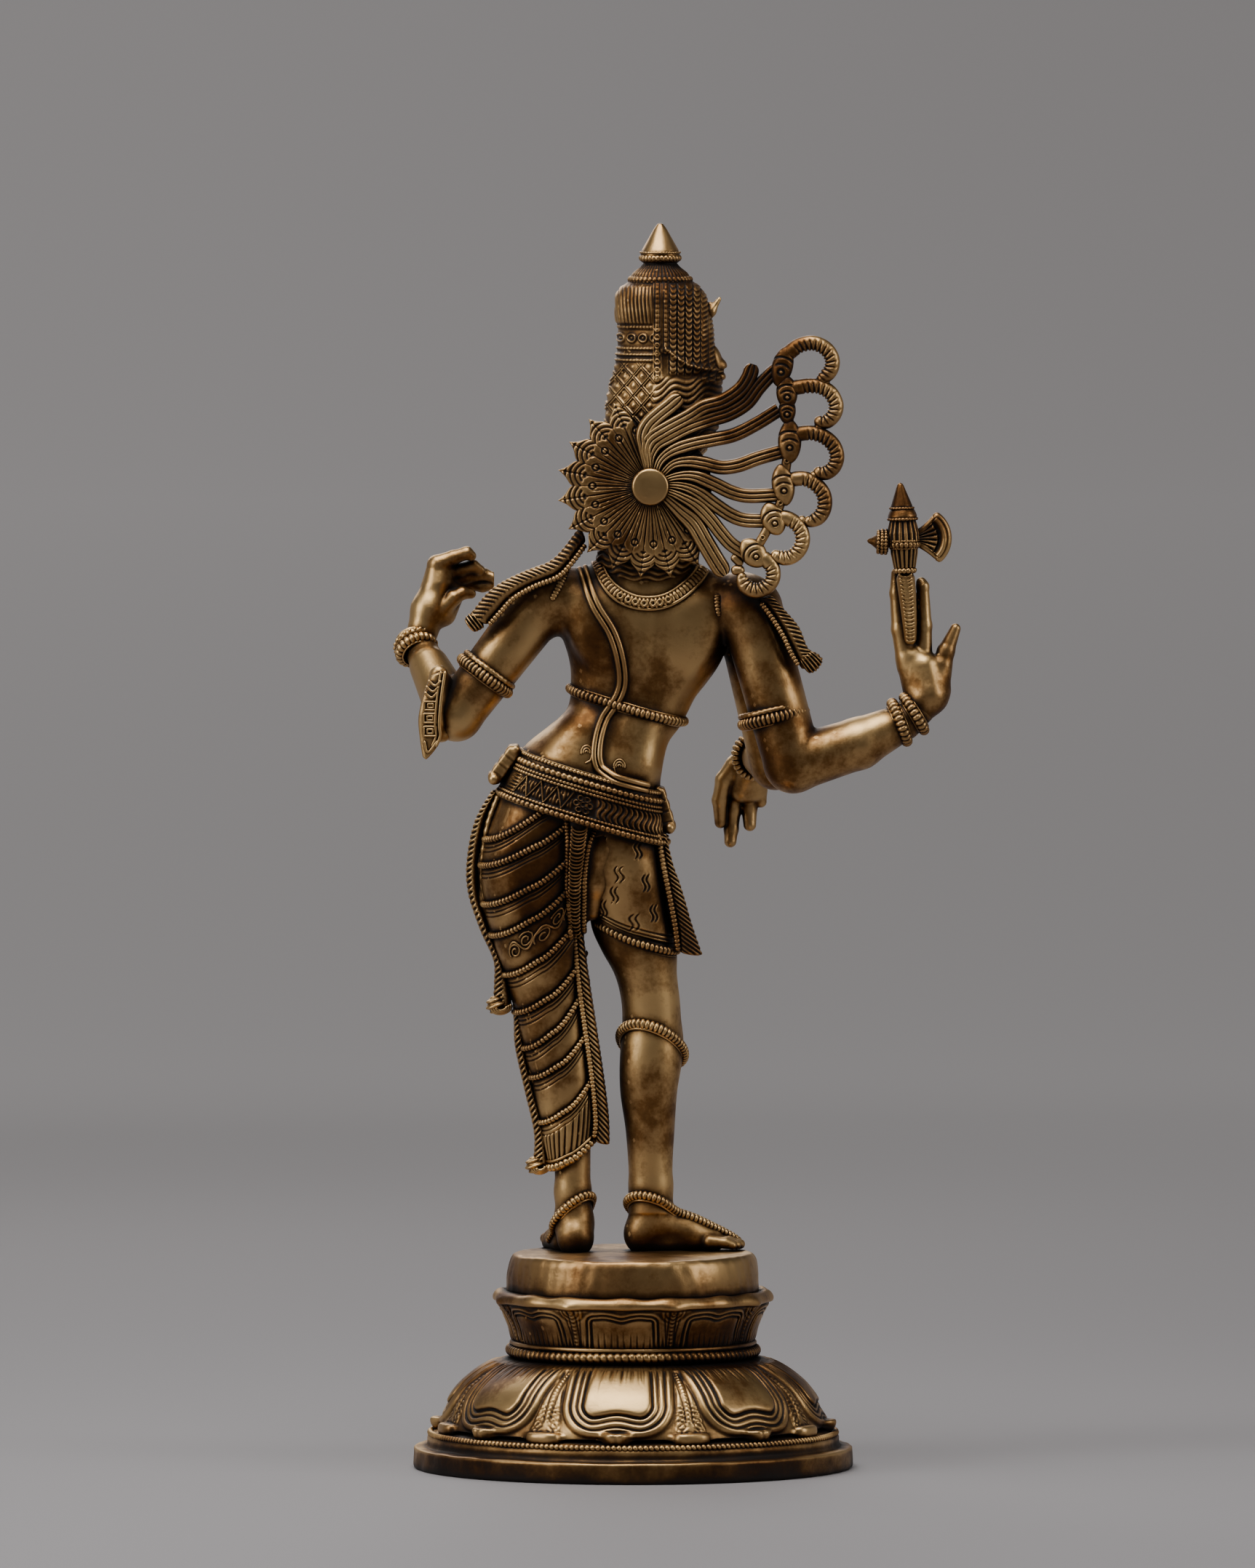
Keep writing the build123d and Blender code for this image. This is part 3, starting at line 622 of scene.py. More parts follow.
def make_rosette():
    around, rings = 1500, 96
    # angle 0 points to the figure's right and angles grow upwards, as seen from behind
    deg = np.arange(around) / around * 360.0
    u = ((deg - FIRST_PETAL + PETAL_STEP / 2) % PETAL_STEP) / PETAL_STEP * 2 - 1
    petal_zone = step_up(deg, 104, 1.5) * step_up(312 - deg, 0, 1.5)
    outer = (27.2 + 3.4 * (1 - np.abs(u)) ** 0.6 + 2.4 * (1 - np.abs(u)) ** 4
             - 0.4 * np.cos(3 * np.radians(deg)))
    plain_edge = 19.0 + 3.0 * np.cos(np.radians(deg - 10))
    edge = plain_edge + (outer - plain_edge) * petal_zone
    share = np.linspace(0.0, 1.0, rings)[:, None] ** 0.9
    r = share * edge[None, :]
    half = ((deg - FIRST_PETAL) % PETAL_STEP) / PETAL_STEP * 2 - 1
    arc = np.radians(PETAL_STEP / 2) * r
    side = np.abs(u)[None, :] * arc
    inner_end = 24.6 - 2.3 * np.abs(half) ** 2.4
    inside = step_up(inner_end[None, :] - r, 0.0, 0.14)
    h = 0.55 * inside
    strip = np.abs(np.sin(PI * (deg - FIRST_PETAL) / (PETAL_STEP / 2)))[None, :]
    h = h + inside * (0.5 * strip ** 0.35 - 0.55) * np.clip((r - 6.5) / 2.0, 0, 1)
    fine = np.abs(np.sin(PI * (deg - FIRST_PETAL) / (PETAL_STEP / 4)))[None, :]
    h = h - inside * 0.42 * (1 - fine) ** 2 * step_up(20.5 - r, 0, 0.8)
    eye = np.hypot(np.abs(half)[None, :] * np.radians(PETAL_STEP / 2) * r,
                   r - 20.6)
    h = h + inside * (-0.5 * pulse(eye, 1.15, 0.3) + 0.25 * np.exp(-(eye / 0.6) ** 2))
    to_edge = edge[None, :] - r
    nested = ridge(np.hypot(side, r - 22.6) / 1.75 + 0.35, 0.8)
    h = h + (1 - inside) * petal_zone[None, :] * (0.6 * nested - 0.35)
    h = h - (1 - inside) * 0.35 * np.exp(-(side / 0.35) ** 2)
    h = h - 0.5 * np.clip(1 - to_edge / 0.7, 0, 1) ** 2
    bow = -0.0016 * r ** 2
    a = np.radians(deg)[None, :]
    x = HALO_X - r * np.cos(a)
    z = HALO_Z + r * np.sin(a)
    front = np.stack([x, HALO_FACE + bow + h, z], -1)
    back_share = np.linspace(1.0, 0.0, 12)[:, None]
    rb = back_share * edge[None, :]
    back = np.stack([HALO_X - rb * np.cos(a), HALO_BACK - 0.0010 * rb ** 2 + 0 * a,
                     HALO_Z + rb * np.sin(a)], -1)
    rosette = Parts().sheet(np.concatenate([front, back]), False, True)
    disc = rosette.make("halo_rosette")

    prof = rounded_line([(0.05, HALO_FACE + 3.3), (BOSS_R * 0.55, HALO_FACE + 3.1),
                         (BOSS_R - 0.5, HALO_FACE + 2.6),
                         (BOSS_R, HALO_FACE + 1.4), (BOSS_R - 0.1, HALO_FACE - 1.0)], 0.9)
    prof = even_line(prof, 0.3)
    a = np.arange(120) / 120 * TAU
    pts = np.stack([HALO_X + prof[:, :1] * np.cos(a), prof[:, 1:] + 0 * a[None, :],
                    HALO_Z + prof[:, :1] * np.sin(a)], -1)
    boss = Parts().sheet(pts[:, ::-1], False, True)
    pin = np.array([(HALO_X, HALO_FACE, HALO_Z), (HALO_X, 4.0, HALO_Z)])
    tube(boss, even_line(pin, 0.5), 2.4, 16)
    return [(disc, ["halo_disc"]), (boss.make("halo_boss_cap"), ["halo_boss"])]


def lock(parts, points, width, ridges, free, base):
    """A flat lock of hair with parallel ridges. Points are (x, z), seen from behind."""
    path = smooth_line([(x, 0.0, z) for x, z in points], 0.4)
    count = len(path)
    tangent = unit(np.gradient(path, axis=0))
    side = np.cross(tangent, [0.0, 1.0, 0.0])
    s = np.arange(count)[:, None] * 0.4
    total = count * 0.4
    half = width / 2 * (0.36 + 0.64 * np.clip(s / 17.0, 0, 1))
    if free:
        left = np.clip(total - s, 0, None)
        half = half * np.sqrt(np.clip(1 - (1 - np.clip(left / (0.55 * width), 0, 1)) ** 2, 0, 1))
    v = np.linspace(-1, 1, 34)[None, :]
    ribs = np.abs(np.sin(PI * (v + 1) / 2 * ridges)) ** 0.6
    top = base + 1.0 * (1 - np.abs(v) ** 6) + 0.6 * ribs + 0.5 * np.sin(PI * s / total)
    top = top - 1.1 * (np.abs(v) > 0.995)
    front = path[:, None] + side[:, None] * (half * v)[..., None]
    front[..., 1] = top
    w = np.linspace(1, -1, 8)[None, :]
    rear = path[:, None] + side[:, None] * (half * w * 0.94)[..., None]
    rear[..., 1] = base - 1.5 - 0.4 * (1 - w ** 2) + 0 * s
    parts.sheet(np.concatenate([front, rear], 1)[:, ::-1], False, True)


def make_locks():
    parts = Parts()
    for k, (points, width, ridges, free) in enumerate(LOCKS):
        lock(parts, points, width, ridges, free, HALO_FACE - 0.35 + 0.25 * (k % 2))
    # links between neighbouring locks, and between the lowest lock and the chain
    for a, b, r in (((-34.8, 321.9), (-39.9, 321.5), 1.9),
                    ((-35.2, 327.2), (-39.0, 323.4), 1.6)):
        tube(parts, smooth_line([(a[0], HALO_FACE - 0.2, a[1]),
                                 ((a[0] + b[0]) / 2, HALO_FACE - 0.2, (a[1] + b[1]) / 2),
                                 (b[0], HALO_FACE - 0.2, b[1])], 0.4), r, 14)
    return [(parts.make("halo_hair"), ["halo_locks"])]


def plate(parts, centre, half_w, half_l, lean, base):
    """A raised plate shaped like a fish head, with an eye and curved cuts."""
    rows, cols = 60, 60
    b = np.linspace(-PI / 2 + 0.01, PI / 2 - 0.01, rows)[:, None]
    a = (np.arange(cols) / cols * TAU)[None, :]
    lx = half_w * np.cos(b) ** 1.15 * np.cos(a)
    lz = half_l * np.sin(b) + 0 * a
    ly = 2.7 * np.cos(b) ** 0.7 * np.sin(a)
    cut = 0.0
    for start in (0.30, 0.52):
        d = np.hypot(lx, lz + 0.35 * half_l) - start * 1.55 * half_l
        cut = cut + pulse(d, 0, 0.3) * step_up(lz, 0, 0.3)
    eye = np.hypot(lx, lz + 0.28 * half_l)
    cut = cut + 0.9 * pulse(eye, 1.0, 0.3) - 0.4 * pulse(eye, 0, 0.5)
    ly = ly - 0.75 * cut * (np.sin(a) > 0)
    t = math.radians(lean)
    x = centre[0] + lx * math.cos(t) + lz * math.sin(t)
    z = centre[1] - lx * math.sin(t) + lz * math.cos(t)
    parts.sheet(np.stack([x, base + ly, z], -1)[::-1], False, True)


def make_snakes():
    chain = Parts()
    for k, (centre, half_w, half_l, lean) in enumerate(HEADS):
        plate(chain, centre, half_w, half_l, lean, HALO_FACE + 0.5)
    spine = [(x, HALO_FACE + 0.2, z) for x, z in
             (NECKS[0], HEADS[0][0], NECKS[1], HEADS[1][0], NECKS[2], HEADS[2][0], NECKS[3],
              HEADS[3][0], NECKS[4],
              HEADS[4][0], NECKS[5], HEADS[5][0], NECKS[6], HEADS[6][0], NECKS[7])]
    tube(chain, smooth_line(spine, 0.4), 1.8, 16, False, (0.0, 1.0, 0.0), 0.9)
    for x, z in (NECKS[4], NECKS[5], NECKS[6]):
        ring = [(x + 0.75 * math.cos(v), HALO_FACE + 1.85, z + 0.75 * math.sin(v))
                for v in np.linspace(0, TAU, 25)]
        tube(chain, even_line(np.array(ring), 0.2), 0.3, 8, True)
    out = [(chain.make("halo_snake_chain"), ["halo_chain"])]
    for k, line in enumerate(SNAKE_LOOPS):
        loop = Parts()
        path = smooth_line([(x, HALO_FACE + 0.1, z) for x, z in line], 0.2)
        total = len(path) * 0.2

        def ribbed(s, phi, total=total):
            plain_start = step_up(s, 5.5, 0.4) * step_up(total - s, 2.0, 0.4)
            rib = np.abs(np.sin(PI * (s - 0.5 * np.cos(phi)) / 1.85)) ** 0.8
            taper = 1.0 - 0.30 * np.clip((s - total + 5.0) / 5.0, 0, 1)
            seen = step_up(np.cos(phi), -0.45, 0.12)
            return 2.75 * taper * (1 - 0.24 * plain_start * (1 - rib) * seen)
        tube(loop, path, ribbed, 30, False, (0.0, 1.0, 0.0), 0.92)
        out.append((loop.make(f"halo_snake_{k + 1}"), [f"halo_loop_{k + 1}"]))
    # small bridges that tie each loop to the next
    bridge = Parts()
    for a, b in (((-68.4, 391.4), (-68.2, 386.8)), ((-66.9, 374.9), (-65.8, 370.7)),
                 ((-65.8, 356.6), (-63.1, 354.0)),
                 ((-61.9, 340.2), (-58.1, 338.3)), ((-51.6, 326.5), (-48.6, 323.8))):
        tube(bridge, smooth_line([(a[0], HALO_FACE - 0.3, a[1]),
                                  ((a[0] + b[0]) / 2, HALO_FACE - 0.3, (a[1] + b[1]) / 2),
                                  (b[0], HALO_FACE - 0.3, b[1])], 0.4), 1.9, 14)
    out.append((bridge.make("halo_loop_bridges"), []))
    return out


# ---------------------------------------------------------------- crown

CROWN = np.array([
    (359.5, -7.4, -8.0, 15.2, 15.4), (366.0, -8.8, -8.0, 18.2, 16.6), (373.0, -10.2, -8.0, 20.3, 17.0),
    (380.0, -10.9, -8.0, 20.6, 16.8),
    (388.0, -11.6, -8.0, 19.8, 16.0), (395.0, -11.9, -8.0, 18.0, 15.2), (401.0, -11.6, -8.0, 16.9, 14.8),
    (408.0, -11.4, -8.0, 16.5, 14.4), (415.0, -10.7, -8.0, 15.8, 14.0), (420.5, -10.1, -8.0, 14.6, 13.2),
    (423.4, -9.9, -8.0, 12.4, 11.6), (424.6, -9.8, -8.0, 11.2, 10.8),
])
CROWN_X, CROWN_Y = -9.7, -8.0


def box_mask(x, z, x0, x1, z0, z1, soft=0.25):
    return step_up(x, x0, soft) * step_up(x1 - x, 0, soft) * step_up(z, z0, soft) * step_up(z1 - z, 0, soft)


def scales(x, z, x0, width, pitch):
    """Rows of hanging crescents in an upright column that starts at x0."""
    u = (x - x0) / width * 2 - 1
    drop = 0.45 * pitch * (1 - u ** 2)
    return ridge((z + drop * 1.6) / pitch, 0.8) * np.clip(1.25 - u ** 4, 0, 1)


def studs(x, z, x0, z0, pitch, along_x=True, radius=0.8):
    """A row of ring studs."""
    p = (x if along_x else z)
    q = (z if along_x else x)
    c = z0 if along_x else x0
    phase = ((p - (x0 if along_x else z0) + pitch / 2) % pitch) - pitch / 2
    d = np.hypot(phase, q - c)
    return 0.5 * np.exp(-((d - radius) / 0.32) ** 2) + 0.45 * np.exp(-(d / 0.35) ** 2)


def crown_relief(x, z):
    """Height of the crown's relief at x and height z."""
    h = np.zeros_like(x)
    # hair gathered in upright strands on the female side
    hair = box_mask(x, z, -7.0, 9.0, 409.3, 423.0)
    strand = ridge((x + 0.35 * np.sin(z * 0.25)) / 1.25, 0.7)
    h = h + hair * (0.9 + 0.45 * strand + 0.5 * np.sin(np.clip((z - 409) / 13, 0, 1) * PI))
    # stud band and the cords above and under it
    for zc, r in ((408.2, 0.75), (400.6, 0.6), (398.4, 0.5), (396.4, 0.5)):
        cord = np.exp(-((z - zc) / r) ** 2) * step_up(x, -7.2, 0.2)
        h = h + cord * (0.55 + 0.3 * ridge(x / 1.2, 0.6))
    band = box_mask(x, z, -7.2, 9.0, 401.6, 407.0)
    h = h + band * (0.35 + studs(x, z, 0.2, 404.3, 3.9, True, 1.35) * 1.3)
    low_band = box_mask(x, z, -7.2, 9.0, 392.5, 399.8)
    h = h + low_band * 0.25
    # diamond net
    net = box_mask(x, z, -7.0, 12.0, 366.0, 394.6, 0.5)
    d1 = ridge((x + z * 0.86) / 6.0, 1.0)
    d2 = ridge((x - z * 0.86) / 6.0, 1.0)
    cordage = np.minimum(d1, d2)
    double = np.abs(cordage - 0.22)
    cx = ((x + z * 0.86) / 6.0) % 1.0 - 0.5
    cz = ((x - z * 0.86) / 6.0) % 1.0 - 0.5
    stud = np.hypot(cx, cz) * 4.2
    h = h + net * (0.75 * np.exp(-(double / 0.13) ** 2) - 0.15 + 0.6 * np.exp(-(stud / 0.75) ** 2))
    # first upright band with studs and a round end
    for x0, x1, z0, r in ((-10.2, -7.2, 390.6, 0.9), (-12.8, -10.4, 400.0, 0.75)):
        mid = (x0 + x1) / 2
        strip = box_mask(x, z, x0, x1, z0, 425.0, 0.18)
        tip = np.exp(-(np.hypot(x - mid, z - z0) / ((x1 - x0) * 0.62)) ** 6)
        strip = np.maximum(strip, tip)
        cell = ridge(z / 1.7, 0.6)
        h = h + strip * (0.75 + 0.35 * cell * np.exp(-((x - mid) / (r * 0.9)) ** 2)
                         - 0.3 * np.exp(-((np.abs(x - mid) - r) / 0.22) ** 2))
    low_studs = box_mask(x, z, -10.0, -7.4, 390.0, 408.0, 0.15)
    h = h + low_studs * studs(x, z, -8.7, 393.0, 2.9, False, 0.85) * 0.9
    # hanging scale columns on the male side
    right = box_mask(x, z, -24.0, -12.8, 391.5, 423.5, 0.3)
    column = 2.7
    start = -23.6 + column * np.floor((x + 23.6) / column)
    gap = np.exp(-((column / 2 - np.abs(x - start - column / 2)) / 0.28) ** 2)
    h = h + right * (0.65 + 0.5 * scales(x, z + 0.6 * start, start, column, 2.0) - 0.55 * gap)
    edge = box_mask(x, z, -40.0, -24.0, 388.5, 423.0, 0.3)
    rows = ridge((z + 0.5 * x) / 1.75, 0.8)
    col = ridge((x + 24.0) / 2.6, 0.7)
    h = h + edge * (0.3 + 0.45 * rows * col + 0.3 * col)
    # cord that runs down from the second band and out to the side
    path = np.where(x < -11.0, 400.5 - (x + 11.6) * -0.98 * np.clip(1 - (-x - 11.6) / 30, 0.45, 1), 400.5)
    slack = np.exp(-((z - path) / 0.95) ** 2) * step_up(-x, 11.2, 0.2)
    h = h + slack * (0.9 + 0.4 * ridge((x + z) / 1.5, 0.7))
    # waved hair underneath on the male side
    wavy = box_mask(x, z, -40.0, -7.2, 362.0, 390.0, 0.5)
    flow = (z + 1.3 * np.sin(x * 0.55) + 0.35 * x) / 2.3
    h = h + wavy * (0.65 * ridge(flow, 0.8) * (0.6 + 0.4 * ridge((x + 0.6 * z) / 5.0, 0.5)))
    # plaited hair under the net
    low = box_mask(x, z, -40.0, 40.0, 355.0, 366.0, 0.6)
    h = h + low * 0.5 * ridge((x + 0.4 * np.sin(z)) / 1.8, 0.8)
    return h * 0.95


def make_crown():
    around = 620
    zs = np.arange(359.5, 424.6, 0.28)
    cur = [catmull(CROWN[:, 0], CROWN[:, k], zs) for k in range(1, 5)]
    a = (np.arange(around) / around * TAU)[None, :]
    cx, cy, rx, ry = (c[:, None] for c in cur)
    ca, sa = np.cos(a), np.sin(a)
    x0, y0 = cx + rx * ca, cy + ry * sa
    z0 = np.broadcast_to(zs[:, None], x0.shape)
    h = crown_relief(x0, z0)
    fade = np.clip((zs - 359.5) / 1.5, 0, 1)[:, None] * np.clip((424.6 - zs) / 1.0, 0, 1)[:, None]
    nx, ny = ca / rx, sa / ry
    nn = np.hypot(nx, ny)
    x, y = x0 + nx / nn * h * fade, y0 + ny / nn * h * fade
    body = Parts().sheet(np.stack([x, y, z0 + 0 * a], -1)[::-1], False, True)
    lid = turned([(11.4, 424.0), (11.0, 425.0), (9.5, 427.2), (7.2, 429.0), (6.0, 430.6), (5.8, 432.0)],
                 200,
                 lambda s, t, r, z: 0.3 * ridge(t / TAU * 46, 0.8) * np.clip((r - 5.5) / 2, 0, 1), 0.3)
    body.sheet(lid + np.array([CROWN_X, CROWN_Y, 0]), False, True)

    def hoop(parts, r, z, thick, pitch, depth):
        line = level_ring(r, z, 720) + np.array([CROWN_X, CROWN_Y, 0])
        rope(parts, line, thick, pitch, 0.4, depth, True, 12)
    hoop(body, 10.4, 424.9, 1.35, 1.7, 0.34)
    hoop(body, 8.6, 427.0, 0.75, 1.3, 0.34)
    crown = body.make("crown_hair")

    top = Parts()
    cone = rounded_line([(5.6, 430.6), (7.1, 431.4), (7.0, 434.4), (6.5, 435.6), (2.2, 443.2), (0.9, 444.9),
                         (0.02, 445.0)], 1.0)
    top.sheet(turned(cone, 160, None, 0.3) + np.array([CROWN_X, CROWN_Y, 0]), False, True)
    hoop(top, 6.5, 432.6, 1.25, 1.45, 0.3)
    hoop(top, 7.0, 434.6, 0.45, 1.2, 0.3)
    finial = top.make("crown_finial")

    clay = Clay((-40, -14, 400), (-20, -2, 424), 0.35)
    clay.add(rod((-22.5, -7.5, 408.0), (-27.8, -7.8, 413.6), 2.4, 1.9), 0)
    clay.add(rod((-27.8, -7.8, 413.6), (-30.9, -8.0, 418.0), 1.7, 0.7), 1.2)
    clay.add(rod((-26.4, -7.5, 409.0), (-27.4, -7.8, 416.0), 1.2, 1.0), 0.8)
    moon = clay.make("crown_crescent")
    side = Clay((-40, -20, 380), (-20, 4, 404), 0.35)
    side.add(egg((-29.0, -7.0, 395.0), (3.2, 4.4, 7.0), (0, 12, 0)))
    side.add(egg((-31.6, -7.0, 394.2), (2.0, 2.8, 2.4), (0, 20, 0)), 1.0)
    side.add(egg((-31.0, -6.0, 390.4), (2.2, 3.0, 1.6), (0, -10, 0)), 0.8)
    side.cut(egg((-33.8, -7.0, 392.4), (1.6, 4.0, 1.0), (0, 0, 0)), 0.4)
    ear = side.make("crown_side_serpent")
    return [(crown, ["crown"]), (finial, ["finial"]), (moon, ["crescent"]), (ear, [])]


# ---------------------------------------------------------------- body

TRUNK = [
    (226.0, 20.0, -7.0, 28.0, 18.0), (240.0, 19.5, -7.0, 29.0, 18.8), (249.3, 17.8, -7.2, 28.0, 17.6),
    (254.5, 15.4, -7.5, 26.6, 16.6), (259.7, 12.0, -8.0, 25.0, 15.4), (264.9, 6.8, -8.3, 23.6, 14.6),
    (270.1, 2.4, -8.5, 22.0, 14.0), (275.3, 0.1, -8.6, 22.4, 14.2), (280.5, -2.0, -8.6, 24.3, 14.9),
    (285.7, -3.8, -8.4, 26.2, 15.6), (290.9, -4.6, -8.2, 28.0, 16.2), (296.1, -4.2, -8.0, 29.3, 16.4),
    (301.3, -3.6, -7.8, 30.4, 16.2), (306.5, -3.4, -7.4, 31.4, 15.6), (311.7, -3.4, -6.8, 31.8, 14.4),
    (316.9, -3.6, -6.3, 28.6, 12.8), (322.1, -4.4, -5.8, 21.5, 11.0), (326.5, -4.4, -5.6, 13.0, 9.4),
]
LEFT_SHOULDER, LEFT_ELBOW, LEFT_WRIST = (30.7, -6.0, 312.0), (63.2, -5.0, 269.1), (77.2, -36.0, 293.0)
REAR_SHOULDER, REAR_ELBOW, REAR_WRIST = (-42.1, -1.0, 307.0), (-57.2, 3.0, 252.1), (-96.7, 0.5, 267.0)
FRONT_SHOULDER, FRONT_ELBOW = (-39.5, -14.0, 304.7), (-51.0, -19.0, 250.5)
FRONT_WRIST = (-43.2, -50.0, 253.2)
RIGHT_LEG = [
    (206.0, 2.0, -8.0, 13.5, 13.0), (192.0, 0.6, -8.2, 14.0, 13.2), (184.0, -2.3, -8.5, 13.3, 12.8),
    (176.5, -4.4, -9.0, 11.3, 12.2), (166.1, -6.3, -10.0, 10.5, 11.6),
    (158.3, -6.7, -10.8, 10.6, 11.8), (150.5, -6.8, -10.6, 11.3, 11.9), (135.0, -5.6, -10.0, 10.3, 11.0),
    (119.3, -6.1, -10.0, 8.7, 9.2), (109.0, -6.2, -10.2, 8.0, 8.4), (98.5, -6.4, -10.5, 7.7, 8.1),
    (91.0, -6.6, -10.8, 7.4, 7.8),
][::-1]


def chain(clay, points, radii, soft=1.0):
    """A bent limb or finger as rods that melt into each other."""
    for a, b, ra, rb in zip(points, points[1:], radii, radii[1:]):
        clay.add(rod(a, b, ra, rb), soft)


def make_trunk():
    clay = Clay((-112, -34, 226), (84, 22, 345), 0.45)
    clay.add(column(TRUNK, 2.15))
    # shoulder mass, shoulder blades and the groove of the spine
    clay.add(egg((27.3, -6.0, 311.0), (12.5, 11.5, 11.0), (0, 35, 0)), 5.0)
    clay.add(egg((-39.0, -4.0, 308.5), (12.5, 12.5, 11.5), (0, -30, 0)), 5.0)
    clay.add(egg((13.0, 2.6, 300.9), (9.0, 5.6, 14.0), (0, 18, 0)), 4.5)
    clay.add(egg((-20.3, 2.6, 299.4), (10.5, 5.6, 14.5), (0, -14, 0)), 4.5)
    clay.add(rod((18.2, -1.0, 262.3), (24.7, 1.5, 250.7), 7.5, 9.0), 6.0)
    clay.add(rod((-2.6, -1.0, 264.9), (-0.5, 0.5, 252.0), 7.0, 7.5), 6.0)
    clay.cut(rod((-6.0, 11.5, 317.4), (-2.6, 10.8, 286.2), 1.6, 1.8), 3.0)
    clay.cut(rod((-2.6, 10.8, 286.2), (5.2, 9.2, 269.3), 1.8, 1.6), 3.0)
    clay.cut(rod((5.2, 9.2, 269.3), (12.5, 11.8, 249.9), 1.6, 1.8), 3.0)
    # chest: a flat male breast on the right, a round female one on the left
    clay.add(egg((11.5, -22.5, 297.0), (9.4, 9.6, 9.4)), 2.2)
    clay.add(egg((-18.5, -19.0, 300.0), (11.0, 5.6, 8.0)), 4.0)
    clay.add(rod((11.6, -32.0, 296.0), (11.6, -32.9, 296.0), 1.0, 0.8), 0.5)
    clay.add(rod((-18.5, -24.3, 299.0), (-18.5, -24.9, 299.0), 1.0, 0.8), 0.4)
    clay.add(egg((7.0, -18.5, 258.0), (15.0, 7.0, 12.0)), 6.0)
    clay.cut(rod((4.0, -24.6, 262.5), (4.0, -27.5, 262.5), 0.9, 1.3), 0.8)
    clay.add(rod((-4.2, -5.0, 316.0), (-5.2, -7.2, 340.0), 8.4, 8.2), 4.5)
    # left arm
    clay.add(rod(LEFT_SHOULDER, LEFT_ELBOW, 10.8, 9.1), 3.0)
    clay.add(rod(LEFT_ELBOW, LEFT_WRIST, 8.9, 5.6), 2.0)
    clay.add(rod((67.1, -9.0, 273.6), (73.3, -24.0, 286.0), 8.3, 6.8), 2.0)
    # rear right arm
    clay.add(rod(REAR_SHOULDER, REAR_ELBOW, 11.2, 10.4), 3.0)
    clay.add(rod(REAR_ELBOW, (-80.6, 2.0, 259.3), 10.2, 9.2), 1.5)
    clay.add(rod((-80.6, 2.0, 259.3), REAR_WRIST, 9.2, 6.6), 1.5)
    clay.add(rod(REAR_WRIST, (-101.9, 0.5, 271.5), 6.4, 6.0), 1.0)
    # front right arm
    clay.add(rod(FRONT_SHOULDER, FRONT_ELBOW, 10.0, 9.0), 2.0)
    arms = clay.make("body_trunk_arms")
    fore = Clay((-62, -66, 238), (-26, -8, 268), 0.4)
    fore.add(rod(FRONT_ELBOW, FRONT_WRIST, 8.8, 5.6), 1.0)
    forearm = fore.make("front_forearm_body")
    return [(arms, ["torso", "left_upper_arm", "left_forearm", "rear_upper_arm", "rear_forearm",
                    "front_upper_arm"]),
            (forearm, ["front_forearm"])]


